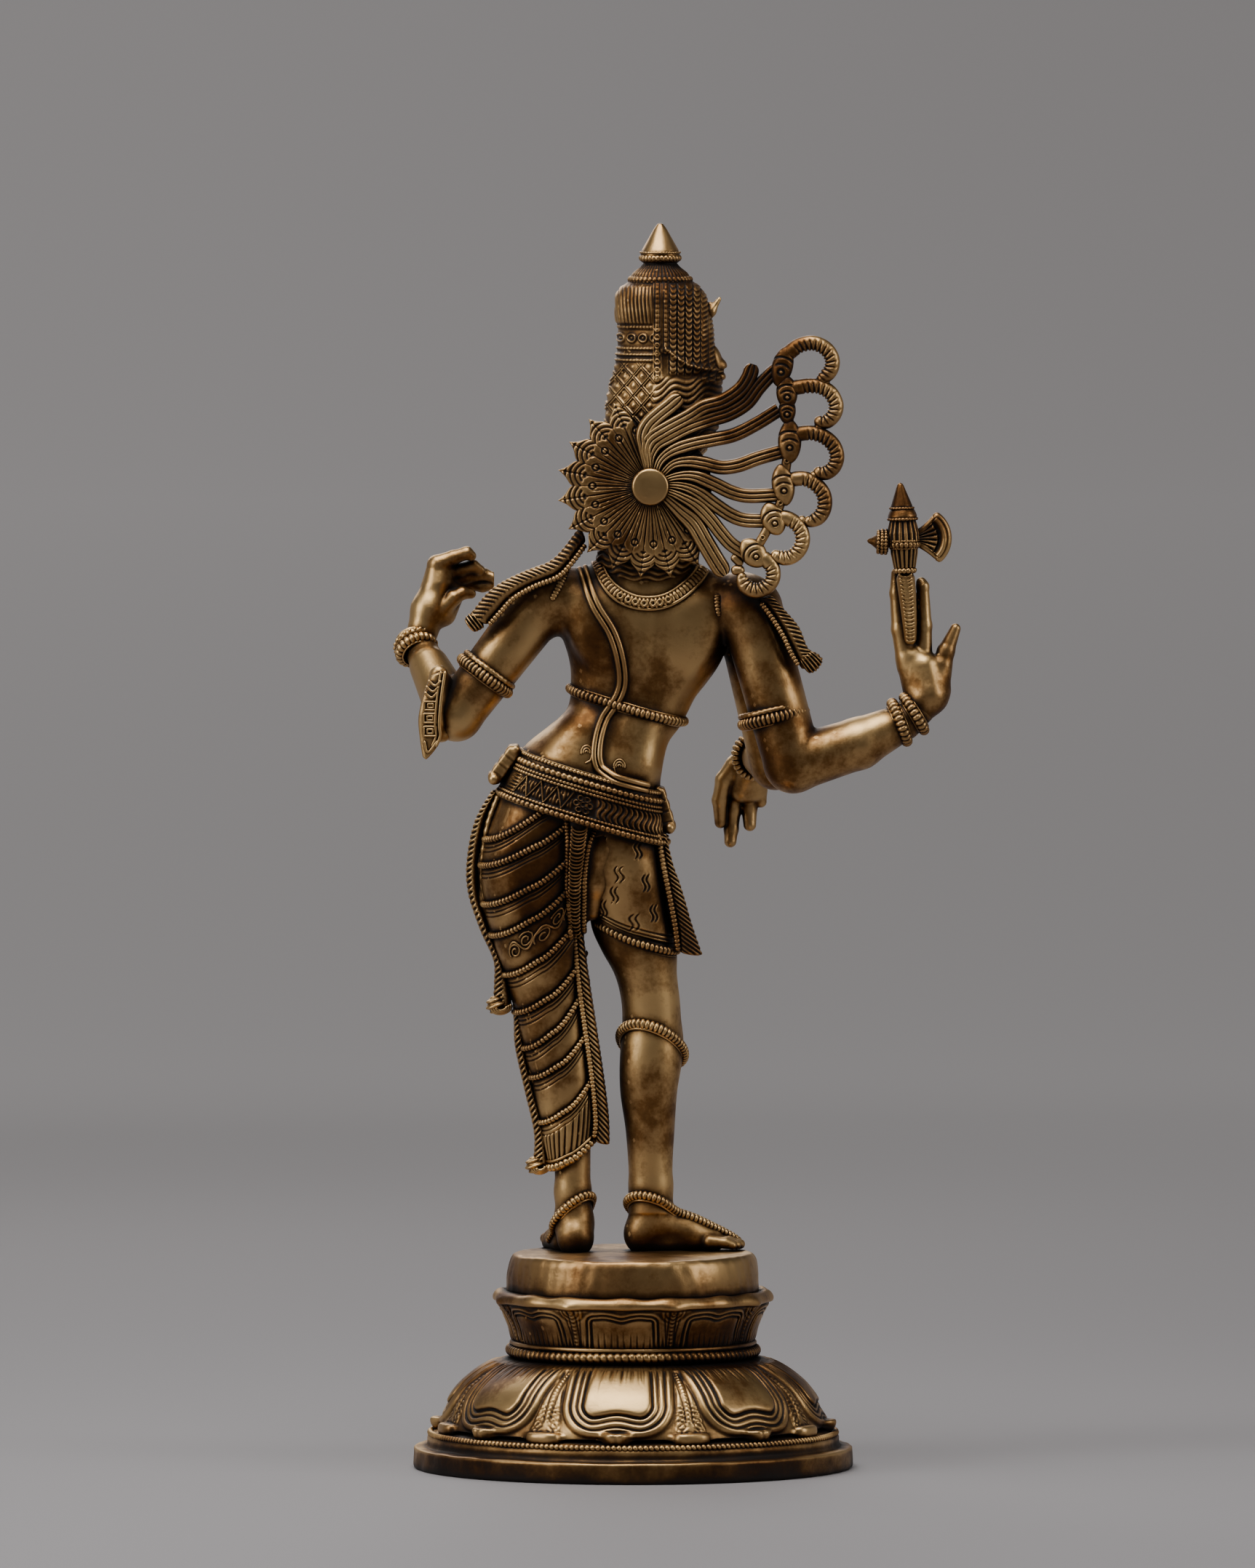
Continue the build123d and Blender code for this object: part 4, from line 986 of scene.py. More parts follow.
def make_hands():
    left = Clay((50, -56, 284), (90, -24, 334), 0.32)
    left.add(rod((76.7, -37.0, 294.0), (73.3, -39.0, 305.5), 5.4, 6.2), 1.0)
    left.add(rod((73.3, -39.0, 305.5), (68.6, -42.0, 319.2), 6.4, 4.6), 2.0)
    left.add(rod((70.2, -41.0, 315.3), (70.7, -41.0, 321.6), 5.2, 3.4), 2.0)
    left.add(rod((65.0, -43.0, 311.3), (68.6, -40.0, 304.4), 4.4, 5.2), 2.0)
    chain(left, [(70.2, -40.0, 321.9), (64.5, -40.0, 324.2), (59.8, -40.0, 325.8), (58.2, -40.0, 324.8)],
          [3.3, 2.6, 2.3, 1.9], 0.8)
    chain(left, [(68.6, -42.0, 317.9), (62.4, -43.0, 319.4), (57.7, -43.0, 321.0), (55.1, -43.0, 319.4)],
          [3.2, 2.6, 2.3, 2.0], 0.8)
    chain(left, [(66.0, -44.0, 315.2), (59.3, -45.0, 317.2), (53.6, -45.0, 317.8), (49.4, -44.0, 316.5)],
          [3.0, 2.5, 2.3, 1.9], 0.8)
    chain(left, [(64.5, -46.0, 313.0), (58.5, -47.0, 314.3), (54.1, -46.0, 313.5), (51.0, -45.0, 313.8)],
          [2.7, 2.3, 2.0, 1.7], 0.8)
    chain(left, [(68.6, -37.0, 305.5), (64.5, -37.0, 309.7), (61.4, -38.0, 311.5), (58.2, -39.0, 311.2)],
          [3.4, 2.8, 2.3, 1.8], 0.8)
    left_hand = left.make("left_hand_body")

    rear = Clay((-122, -12, 266), (-88, 10, 328), 0.32)
    rear.add(rod((-100.9, 0.5, 270.2), (-105.6, 0.0, 276.6), 5.8, 6.6), 1.0)
    rear.add(rod((-105.6, 0.0, 276.6), (-104.0, -1.0, 286.2), 7.2, 6.0), 2.0)
    rear.add(rod((-101.9, -1.0, 277.9), (-99.3, -2.0, 289.6), 5.4, 5.4), 2.0)
    rear.add(rod((-108.7, -1.0, 279.2), (-110.0, -1.0, 287.0), 4.8, 3.8), 2.0)
    chain(rear, [(-109.7, -1.0, 284.4), (-111.8, -1.5, 292.2), (-115.2, -2.0, 300.2)], [3.9, 3.1, 1.9], 1.0)
    chain(rear, [(-103.5, -2.0, 287.7), (-104.0, -2.0, 301.3), (-103.5, -2.5, 315.3),
                 (-103.0, -3.0, 316.8)], [3.5, 2.8, 2.2, 1.8], 1.0)
    chain(rear, [(-98.3, -1.5, 287.0), (-95.7, -1.0, 300.0), (-94.4, -1.0, 313.0), (-94.4, -1.0, 320.0)],
          [4.0, 3.4, 2.7, 2.2], 1.0)
    chain(rear, [(-99.3, -5.0, 286.8), (-98.0, -6.0, 301.1), (-97.8, -6.0, 316.7), (-98.0, -6.0, 322.4)],
          [3.8, 3.2, 2.7, 2.1], 1.0)
    chain(rear, [(-101.9, -7.0, 286.7), (-100.9, -8.0, 298.4), (-100.6, -8.0, 310.9)], [3.4, 2.9, 2.1], 1.0)
    rear_hand = rear.make("rear_hand_body")

    front = Clay((-54, -72, 216), (-24, -44, 266), 0.32)
    front.add(rod((-43.2, -50.0, 253.2), (-41.6, -56.0, 249.2), 5.4, 6.0), 1.0)
    front.add(rod((-41.6, -56.0, 249.2), (-39.5, -60.0, 241.1), 6.4, 6.4), 2.0)
    front.add(rod((-42.9, -57.0, 246.5), (-43.7, -60.0, 239.8), 5.4, 4.6), 2.0)
    chain(front, [(-36.9, -55.0, 248.7), (-32.8, -56.0, 243.4), (-31.2, -58.0, 236.0),
                  (-31.5, -60.0, 227.8)], [3.8, 3.1, 2.7, 2.1], 1.0)
    chain(front, [(-36.9, -61.0, 239.8), (-35.9, -62.0, 231.9), (-35.4, -62.0, 225.3),
                  (-35.1, -61.0, 220.9)], [3.4, 3.0, 2.6, 2.2], 0.8)
    chain(front, [(-41.9, -61.0, 238.5), (-41.9, -62.0, 233.2), (-42.1, -61.0, 226.9)],
          [3.3, 2.9, 2.3], 0.8)
    chain(front, [(-45.5, -60.0, 239.8), (-46.0, -61.0, 235.3)], [2.9, 2.2], 0.8)
    front_hand = front.make("front_hand_body")
    return [(left_hand, ["left_hand"]), (rear_hand, ["rear_hand"]), (front_hand, ["front_hand"])]


def flat_floor(clay, height):
    """Cuts the clay off level at a height."""
    z = clay.low[2] + clay.cell * np.arange(clay.shape[2])
    clay.d = np.maximum(clay.d, (height - z)[None, None, :].astype(np.float32))


def make_legs():
    leg = Clay((-44, -26, 75), (18, 8, 206), 0.42)
    leg.add(column(RIGHT_LEG, 2.0))
    leg.add(egg((-7.5, -13.5, 154.5), (8.0, 8.0, 8.5)), 4.0)
    leg.add(egg((-6.2, -5.5, 143.0), (8.8, 7.0, 15.0)), 4.0)
    leg.add(rod((-6.4, -10.5, 100.0), (-5.6, -11.0, 86.0), 7.5, 7.2), 2.0)
    leg.add(egg((-2.9, -10.0, 82.7), (6.3, 6.6, 7.2)), 2.5)
    chain(leg, [(-8.0, -11.5, 87.0), (-19.0, -12.5, 83.0), (-28.0, -13.5, 80.2)], [7.4, 6.0, 4.6], 3.0)
    leg.add(egg((-10.0, -12.5, 79.5), (11.0, 7.0, 5.0)), 2.0)
    for k, (dy, reach) in enumerate(((-4.6, 8.6), (-1.6, 9.8), (1.2, 9.4), (3.6, 8.4), (5.7, 7.0))):
        chain(leg, [(-27.5, -13.4 + dy * 0.9, 80.0), (-29.0 - reach * 0.55, -13.4 + dy, 79.6),
                    (-28.6 - reach, -13.4 + dy * 1.05, 78.7)],
              [2.9 - 0.12 * k, 2.3 - 0.12 * k, 1.9 - 0.1 * k], 1.0)
    flat_floor(leg, PLINTH_TOP - 0.3)
    right = leg.make("right_leg_body")

    foot = Clay((8, -48, 75), (36, 4, 118), 0.4)
    foot.add(rod((21.8, -9.5, 118.0), (21.6, -9.5, 98.0), 6.6, 6.3), 0)
    foot.add(rod((21.6, -9.5, 98.0), (21.0, -9.0, 86.0), 6.4, 6.8), 2.0)
    foot.add(egg((20.6, -5.6, 81.5), (6.6, 6.4, 7.0)), 2.5)
    chain(foot, [(21.3, -12.0, 87.0), (23.5, -22.0, 82.5), (25.5, -30.0, 79.8)], [6.8, 5.8, 4.8], 3.0)
    foot.add(rod((24.0, -14.0, 79.5), (28.5, -27.0, 79.0), 5.0, 4.4), 2.0)
    for k, (dx, reach) in enumerate(((-4.6, 9.2), (-1.7, 9.6), (1.0, 8.8), (3.4, 7.6), (5.5, 6.2))):
        chain(foot, [(25.4 + dx * 0.85, -29.5, 79.8), (25.9 + dx, -30.5 - reach * 0.55, 79.4),
                     (26.0 + dx * 1.05, -31.0 - reach, 78.6)],
              [2.9 - 0.12 * k, 2.3 - 0.12 * k, 1.8 - 0.1 * k], 1.0)
    flat_floor(foot, PLINTH_TOP - 0.3)
    left = foot.make("left_foot_body")
    return [(right, ["right_thigh", "right_leg", "right_foot"]), (left, ["left_foot", "left_ankle"])]


# ---------------------------------------------------------------- lines laid on the body

def block(centre, half, turn=(0, 0, 0), round_r=0.6):
    """A box with round edges, turned in degrees."""
    c, h, m = np.array(centre, float), np.array(half, float) - round_r, turn_matrix(*turn)
    reach = (np.abs(m) * np.array(half, float)[None, :]).sum(1)

    def fn(x, y, z):
        px, py, pz = x - c[0], y - c[1], z - c[2]
        q = [np.abs(m[0, k] * px + m[1, k] * py + m[2, k] * pz) - h[k] for k in range(3)]
        away = np.sqrt(sum(np.maximum(v, 0) ** 2 for v in q))
        return (away + np.minimum(np.maximum(np.maximum(q[0], q[1]), q[2]), 0) - round_r).astype(np.float32)
    return fn, c - reach, c + reach


def soften(line, closed=False, rounds=2):
    """Evens out small steps along a line."""
    for _ in range(rounds):
        if closed:
            core = line[:-1]
            core = 0.25 * np.roll(core, 1, 0) + 0.5 * core + 0.25 * np.roll(core, -1, 0)
            line = np.concatenate([core, core[:1]])
        else:
            line[1:-1] = 0.25 * line[:-2] + 0.5 * line[1:-1] + 0.25 * line[2:]
    return line


def lay(trees, points, lift=0.0, side=1.0, step=0.7):
    """A line over the back (side 1) or the front (side -1) through (x, z) points."""
    flat = smooth_line([(x, 0.0, z) for x, z in points], step)
    out = []
    for x, _, z in flat:
        found = cast(trees, (x, 90.0 * side, z), (0, -side, 0))
        if found is not None:
            out.append(found[0] + found[1] * lift)
    return soften(np.array(out))


def wrap(trees, centre, axis, reach=26.0, lift=0.0):
    """A closed line round a limb, in the plane through centre square to axis."""
    axis = unit(np.array(axis, float))
    u = unit(np.cross(axis, [0.1, 0.97, 0.2]))
    v = np.cross(axis, u)
    out = []
    for a in np.linspace(0, TAU, 110, endpoint=False):
        way = u * math.cos(a) + v * math.sin(a)
        found = cast(trees, np.array(centre, float) + way * reach, -way)
        if found is not None:
            out.append(found[0] + way * lift)
    line = np.array(out + out[:1])
    return even_line(soften(line, True, 3), 0.5)


def ribbon(parts, inner, outer, thick, pitch=2.0, slant=1.2, depth=0.3, face=(0, 1, 0), smooth_share=0.0):
    """A flat hanging band between two edge lines, with slanting ribs like the barbs of a feather."""
    count = int(max(len(inner), len(outer)) * 40 / 3)
    a, b = smooth_line(inner, 0.5), smooth_line(outer, 0.5)
    t = np.linspace(0, 1, count)
    a = np.stack([np.interp(t, np.linspace(0, 1, len(a)), a[:, k]) for k in range(3)], 1)
    b = np.stack([np.interp(t, np.linspace(0, 1, len(b)), b[:, k]) for k in range(3)], 1)
    length = np.linalg.norm(np.diff(b, axis=0), axis=1).sum()
    count = int(length / (pitch / 9))
    t2 = np.linspace(0, 1, count)
    a = np.stack([np.interp(t2, t, a[:, k]) for k in range(3)], 1)
    b = np.stack([np.interp(t2, t, b[:, k]) for k in range(3)], 1)
    across = (b - a) / 2
    along_dir = unit(np.gradient((a + b) / 2, axis=0))
    normal = unit(np.cross(along_dir, across))
    flip = np.sign(normal @ np.array(face, float))
    normal = normal * np.where(flip == 0, 1, flip)[:, None]
    phi = np.arange(30) / 30 * TAU
    c, s = np.cos(phi)[None, :], np.sin(phi)[None, :]
    run = (t2 * length)[:, None]
    width = np.linalg.norm(across, axis=1)[:, None]
    barb = ridge((run + slant * width * (1 - c) * 0.5) / pitch, 0.85)
    edge = step_up(c, smooth_share * 2 - 1, 0.06)
    carve = 1 - depth * (1 - barb) * edge
    ends = np.sqrt(np.clip(1 - (1 - np.clip(np.minimum(run, length - run) / 1.2, 0, 1)) ** 2, 0, 1))
    power = np.sign(s) * np.abs(s) ** 0.8
    middle = ((a + b) / 2)[:, None, :]
    narrow = 1 - 0.25 * depth * (1 - barb) * edge
    pts = (middle + across[:, None, :] * (c * ends * narrow)[..., None]
           + normal[:, None, :] * (thick * power * carve * ends)[..., None])
    parts.sheet(pts, False, True)
    return parts


# ---------------------------------------------------------------- clothes

SKIRT = [
    (103.0, 22.0, -9.5, 7.6, 7.4), (109.0, 22.6, -9.5, 8.2, 8.0), (122.0, 23.4, -9.5, 9.8, 9.4),
    (135.0, 24.8, -10.0, 11.0, 10.6), (148.0, 27.0, -10.5, 12.1, 11.7), (161.0, 28.9, -11.0, 13.0, 12.6),
    (174.0, 31.2, -10.5, 14.4, 13.8), (187.0, 33.8, -9.5, 16.1, 15.5), (200.0, 35.4, -8.0, 17.8, 17.2),
    (213.0, 35.6, -7.0, 18.9, 18.6), (226.0, 33.6, -7.0, 19.0, 19.2), (238.0, 30.0, -7.0, 18.4, 18.6),
    (246.0, 27.5, -7.0, 17.5, 17.5),
]
SHORTS = [
    (178.0, -4.2, -9.4, 12.4, 13.0), (186.5, -2.6, -9.0, 13.4, 13.8), (200.0, 1.2, -8.0, 14.4, 15.8),
    (213.0, 3.7, -7.0, 15.0, 17.6), (226.0, 4.8, -7.0, 14.6, 18.0), (238.0, 6.8, -7.0, 14.2, 17.0),
    (246.0, 8.0, -7.0, 14.0, 16.0),
]
# folds of the wrapped skirt: height on the outer side, rise to the inner side
FOLDS = [(224.8, 44.0), (215.5, 29.0), (201.5, 26.0), (190.3, 25.0), (176.0, 23.0), (162.5, 21.0),
         (149.6, 24.0),
         (139.1, 18.5), (123.0, 17.5)]
HEM = (106.8, 10.7)
SHORT_HEM = (188.6, 10.4)
# pairs of S-shaped cuts on the short garment, as (x, z)
CUTS = [(9.9, 223.3), (-1.0, 221.3), (4.7, 212.9), (-3.9, 209.6), (13.3, 210.3), (6.0, 205.4),
        (10.1, 200.2), (-6.8, 198.6), (-0.3, 195.5)]


def on_oval(sections, theta, z, lift=0.0):
    """Points on a body given by horizontal ovals."""
    s = np.array(sections, float)
    cx, cy, rx, ry = (catmull(s[:, 0], s[:, k], z) for k in range(1, 5))
    c, n = np.cos(theta), np.sin(theta)
    x = cx + (rx + lift) * np.sign(c) * np.abs(c) ** 0.86
    y = cy + (ry + lift) * np.sign(n) * np.abs(n) ** 0.86
    return np.stack(np.broadcast_arrays(x, y, z), -1)


def fold_height(fold, u):
    return fold[0] + fold[1] * ((1 - u) / 2) ** 1.9


def garment(parts, sections, bottom, top, relief, columns, rows):
    """A closed sheet round a leg from a wavy lower edge up, with a turned-in lower edge."""
    theta = np.linspace(0, TAU, columns, endpoint=False)[:, None]
    u = np.cos(theta)
    t = np.linspace(0, 1, rows)[None, :]
    low = bottom(u)
    z = low + (top - low) * t
    body = on_oval(sections, theta, z, relief(theta, u, z))
    edge = on_oval(sections, theta, low + np.array([[2.0, 0.0, -0.5]]), np.array([[-2.6, -1.6, -0.6]]))
    parts.sheet(np.concatenate([edge, body], 1), True, False)
    return parts


def vine(parts, place, length, height, waves):
    """A scrolling stem with curled shoots between two folds. place maps (along, across) to points."""
    t = np.linspace(0, 1, 140)
    stem = place(t * length, 0.28 * height * np.sin(t * waves * PI))
    tube(parts, even_line(stem, 0.45), 0.42, 8)
    for k in range(waves):
        mid = (k + 0.5) / waves * length
        up = 1 if k % 2 else -1
        a = np.linspace(0, 1.55 * TAU, 60)
        r = 0.34 * height * (1 - a / (2.0 * TAU))
        curl = place(mid + r * np.cos(a + 0.6 * up) * 0.9, up * 0.12 * height + r * np.sin(a + 0.6 * up))
        tube(parts, even_line(curl, 0.35), 0.34, 8)


def make_skirt():
    parts = Parts()

    def relief(theta, u, z):
        out = np.zeros(np.broadcast(u, z).shape)
        lines = [fold_height(f, u) for f in FOLDS] + [fold_height(HEM, u)]
        for k, (line, below) in enumerate(zip(lines, lines[1:])):
            gap = np.maximum(line - below, 4.0)
            inside = step_up(line - z, 0, 0.25) * step_up(z - below, 0, 0.25)
            share = np.clip((line - z) / gap, 0, 1)
            out = out + inside * (0.45 * np.sin(PI * share ** 0.7) - 0.15)
            out = out - 0.5 * pulse(z, line, 1.4)
            if k != 3:
                out = out - 0.36 * pulse(z, line - 2.9, 0.3) - 0.3 * pulse(z, line - 4.5, 0.3)
        last, hem = lines[-2], lines[-1]
        pleats = step_up(last - z, 5.0, 0.4) * step_up(z - hem, 1.4, 0.3)
        out = out + pleats * (0.8 * ridge(theta * 14 / PI + (last - z) * 0.05, 0.7) - 0.6)
        return out

    def vine_place(side):
        def place(s, h):
            theta = PI + side * (0.1 + s / 14.6)
            u = np.cos(theta)
            z = (fold_height(FOLDS[3], u) + fold_height(FOLDS[4], u)) / 2 + 1.0 + h
            return on_oval(SKIRT, theta, z, 0.55)
        return place

    garment(parts, SKIRT, lambda u: fold_height(HEM, u) - 1.0, 245.0, relief, 400, 560)
    theta = np.linspace(0, TAU, 260)
    for k, fold in enumerate(FOLDS):
        z = np.minimum(fold_height(fold, np.cos(theta)), 244.0)
        line = on_oval(SKIRT, theta, z, 0.35)
        rope(parts, line, 1.3 - 0.03 * k, 1.5, 0.25, 0.5, True, 12)
    hem = on_oval(SKIRT, theta, fold_height(HEM, np.cos(theta)), 0.2)
    rope(parts, hem, 1.45, 1.9, 0.3, 0.5, True, 12)
    edge = on_oval(SKIRT, theta, fold_height(HEM, np.cos(theta)) + 2.2, 0.25)
    tube(parts, even_line(edge, 0.6), 0.5, 8, True)
    for side in (-1, 1):
        vine(parts, vine_place(side), 31.0, 8.2, 7)
    skirt = parts.make("sari_skirt_cloth")
    return [(skirt, ["sari_skirt"])]


def make_shorts():
    parts = Parts()

    def hem(u):
        return SHORT_HEM[0] + SHORT_HEM[1] * ((1 + u) / 2) ** 1.7

    def relief(theta, u, z):
        s = np.array(SHORTS, float)
        x = catmull(s[:, 0], s[:, 1], z) + catmull(s[:, 0], s[:, 3], z) * u
        out = -0.4 * pulse(z, hem(u), 0.4) - 0.4 * pulse(z, hem(u) + 1.6, 0.38)
        out = out - 0.5 * pulse(z, hem(u) - 1.6, 0.5) - 0.9 * step_up(hem(u) - z, 1.2, 0.3)
        for cx, cz in CUTS:
            dz = z - cz
            window = step_up(2.9 - np.abs(dz), 0, 0.25)
            for shift in (-0.75, 0.75):
                off = x - cx - shift - 0.55 * np.sin(dz * TAU / 5.4)
                out = out - 0.5 * window * pulse(off, 0, 0.34)
        return out

    garment(parts, SHORTS, lambda u: hem(u) - 5.6, 245.0, relief, 480, 330)
    theta = np.linspace(0, TAU, 260)
    line = on_oval(SHORTS, theta, hem(np.cos(theta)) - 4.0, -0.4)
    rope(parts, line, 1.5, 1.7, 0.3, 0.5, True, 12)
    shorts = parts.make("short_garment_cloth")
    return [(shorts, ["short_garment"])]


BELT_C, BELT_RX, BELT_RY, BELT_SLOPE, BELT_HALF = (16.5, -7.3, 240.9), 27.8, 21.4, 0.30, 9.6


def on_belt(theta, h, lift=0.0):
    """A point on the girdle at an angle and a height from its middle line."""
    c, s = np.cos(theta), np.sin(theta)
    x = BELT_C[0] - 0.17 * h + (BELT_RX - 0.30 * h + lift) * np.sign(c) * np.abs(c) ** 0.78
    y = BELT_C[1] + (BELT_RY - 0.10 * h + lift) * np.sign(s) * np.abs(s) ** 0.78
    z = BELT_C[2] + h + BELT_SLOPE * (x - BELT_C[0]) - 1.0 * np.abs(s)
    return np.stack(np.broadcast_arrays(x, y, z), -1)


def make_girdle():
    parts = Parts()
    theta = np.linspace(0, TAU, 900, endpoint=False)[:, None]
    ring = on_belt(theta, 0.0)[:, 0]
    gap = np.linalg.norm(np.roll(ring, -1, 0) - ring, axis=1)
    run = np.concatenate([[0], np.cumsum(gap)[:-1]])
    back = run[225]
    # distance from the middle of the back or of the front, positive to the left
    s = (back - run)[:, None]
    s = np.where(theta > PI, (run - run[675])[:, None], s)
    h = np.linspace(BELT_HALF, -BELT_HALF, 110)[None, :]
    out = np.zeros((900, 110))
    panel = step_up(h, -6.3, 0.15) * step_up(-h, -1.7, 0.15)
    mid = h + 2.3
    # triangles with leaves
    tri_zone = step_up(s, 5.0, 0.2) * step_up(-s, -27.0, 0.2)
    phase = (s - 5.0) / 6.4
    saw = np.abs((phase % 1.0) * 2 - 1) * 7.4 - 3.7
    line = 1.0 * pulse(mid - saw, 0, 0.62)
    leaf_x = ((phase % 1.0) - 0.5) * 6.4
    leaf = 0.8 * np.exp(-(leaf_x / 0.7) ** 2 - ((mid - 1.1) / 1.9) ** 2)
    leaf = leaf + 0.6 * np.exp(-((np.abs(leaf_x) - 1.3) / 0.45) ** 2 - ((mid - 1.9) / 1.0) ** 2)
    side_x = (((phase + 0.5) % 1.0) - 0.5) * 6.4
    leaf = leaf + 0.8 * np.exp(-(side_x / 0.7) ** 2 - ((mid + 1.1) / 1.9) ** 2)
    leaf = leaf + 0.6 * np.exp(-((np.abs(side_x) - 1.3) / 0.45) ** 2 - ((mid + 1.9) / 1.0) ** 2)
    # rosette of rings
    rose = np.zeros_like(out)
    hub = 1.0
    for k in range(7):
        a = k / 6 * TAU
        cx, cz = (0, 0) if k == 6 else (2.45 * math.cos(a), 2.45 * math.sin(a))
        d = np.sqrt((s - hub - cx) ** 2 + (mid - cz) ** 2)
        rose = np.maximum(rose, 0.9 * pulse(d, 0.95, 0.34) + 0.35 * pulse(d, 0, 0.4))
    rose_zone = step_up(4.0 - np.sqrt((s - hub) ** 2 + mid ** 2), 0, 0.15)
    # S-shaped flutes
    flute_zone = step_up(-s, 4.2, 0.2)
    flutes = (0.85 * ridge((s + 1.0 * np.sin(mid * TAU / 8.0)) / 2.15, 0.75)
              * step_up(4.0 - np.abs(mid), 0, 0.3))
    hatch_zone = step_up(s, 27.4, 0.2)
    hatch = 0.6 * ridge(mid / 1.3, 0.8)
    motif = tri_zone * (line + leaf) + flute_zone * flutes + hatch_zone * hatch
    out = out + panel * (np.where(rose_zone > 0.5, rose, motif) - 0.75)
    out = out + 0.35 * pulse(h, BELT_HALF, 0.5) + 0.35 * pulse(h, -BELT_HALF, 0.5)
    outside = on_belt(theta, h, out)
    top = on_belt(theta, np.array([[BELT_HALF - 0.2, BELT_HALF - 0.2]]), np.array([[-7.5, -0.4]]))
    low = on_belt(theta, np.array([[-BELT_HALF + 0.1, -BELT_HALF + 0.2]]), np.array([[-0.4, -7.5]]))
    parts.sheet(np.concatenate([top, outside, low], 1), True, False)
    ring_t = np.linspace(0, TAU, 500)
    for height, radius, pitch, slant in ((8.6, 0.8, 1.4, 0.0), (5.8, 1.2, 2.1, 0.0), (3.6, 0.65, 1.35, 0.0),
                                         (2.2, 0.6, 1.35, 0.0), (-6.7, 0.6, 1.3, 0.0),
                                         (-8.5, 1.1, 1.9, 0.1)):
        rope(parts, on_belt(ring_t, height, 0.1), radius, pitch, slant, 0.5, True, 10)
    girdle = parts.make("girdle_band")

    clasps = Clay((-24, -24, 216), (60, 10, 268), 0.4)
    for centre, turn, half in (((46.0, -5.0, 251.7), (0, -36, 0), (2.6, 7.0, 7.2)),
                               ((-10.9, -6.0, 235.5), (0, 17, 0), (2.6, 7.0, 7.8))):
        clasps.add(block(centre, half, turn, 1.2))
        m = turn_matrix(*turn)
        for share in (-0.62, -0.1, 0.42):
            for face in (-1, 1):
                a = np.array(centre) + m @ np.array([face * half[0] * 1.25, -6.0, share * half[2]])
                b = np.array(centre) + m @ np.array([face * half[0] * 1.25, 6.0, share * half[2]])
                clasps.cut(rod(a, b, 1.0), 0.4)
            a = np.array(centre) + m @ np.array([-2.4, half[1] * 1.05, share * half[2]])
            b = np.array(centre) + m @ np.array([2.4, half[1] * 1.05, share * half[2]])
            clasps.cut(rod(a, b, 0.7), 0.3)
        tip = np.array(centre) + m @ np.array([0, 0, half[2] * 0.94])
        clasps.add(rod(tip + m @ np.array([0, -6.4, 0]), tip + m @ np.array([0, 6.4, 0]), 1.5), 0.8)
        tip = np.array(centre) - m @ np.array([0, 0, half[2] * 0.9])
        clasps.add(rod(tip + m @ np.array([0, -6.4, 0]), tip + m @ np.array([0, 6.4, 0]), 2.0), 0.8)
    clasp = clasps.make("girdle_clasps")
    return [(girdle, ["girdle"]), (clasp, ["girdle"])]


def make_rear_panel(trees):
    pad = Clay((8, -6, 192), (30, 18, 246), 0.45)
    chain(pad, [(19.2, 7.5, 234.6), (19.5, 8.0, 223.8), (20.3, 5.5, 209.3), (20.5, 1.0, 196.9),
                (20.8, -1.5, 189.5)],
          [6.2, 5.2, 4.2, 3.8, 3.0], 2.0)
    chain(pad, [(11.4, 3.5, 230.0), (12.2, 4.6, 221.0), (13.3, 3.4, 210.5), (14.8, -0.5, 200.4)],
          [6.4, 6.4, 6.0, 4.6], 2.0)
    piece = pad.make("rear_panel_pad")
    trees = trees + [tree_of(piece)]
    parts = Parts()
    left = lay(trees, [(23.7, 233.2), (23.1, 223.3), (23.4, 210.3), (23.1, 199.9), (22.4, 189.5)], 0.3)
    right = lay(trees, [(13.5, 229.6), (15.9, 223.9), (17.2, 215.5), (17.7, 202.5), (17.9, 191.6)], 0.3)
    rope(parts, left, 1.15, 1.35, 0.2, 0.36, False, 10)
    rope(parts, right, 1.15, 1.35, 0.2, 0.36, False, 10)
    middle = lay(trees, [(19.0, 231.1), (19.8, 223.3), (20.8, 210.3), (20.8, 199.9), (20.3, 190.1)],
                 0.25, 1.0, 0.3)
    # a column of small crescents, each hanging over the next
    count = len(middle)
    for k in np.linspace(2, count - 3, 30).astype(int):
        share = k / count
        half = 2.9 - 1.5 * share
        a = np.linspace(PI, TAU, 14)
        arc = middle[k] + np.stack([half * np.cos(a), 0 * a + 0.15, half * 0.75 * np.sin(a)], 1)
        tube(parts, even_line(arc, 0.35), 0.36, 8)
    detail = parts.make("rear_panel_trim")
    return [(piece, ["rear_panel"]), (detail, ["rear_panel"])]


def knob(parts, centre, half, lean):
    """A small gathered knot of cloth with curved ribs."""
    b = np.linspace(-PI / 2 + 0.02, PI / 2 - 0.02, 60)[:, None]
    a = (np.arange(48) / 48 * TAU)[None, :]
    swell = 1 + 0.13 * np.cos(b * 9.0 + 0.5 * np.sin(a))
    local = np.stack([half[0] * swell * np.cos(b) * np.cos(a), half[1] * swell * np.cos(b) * np.sin(a),
                      half[2] * np.sin(b) + 0 * a], -1)
    parts.sheet(local @ turn_matrix(0, lean, 0).T + np.array(centre), False, True)


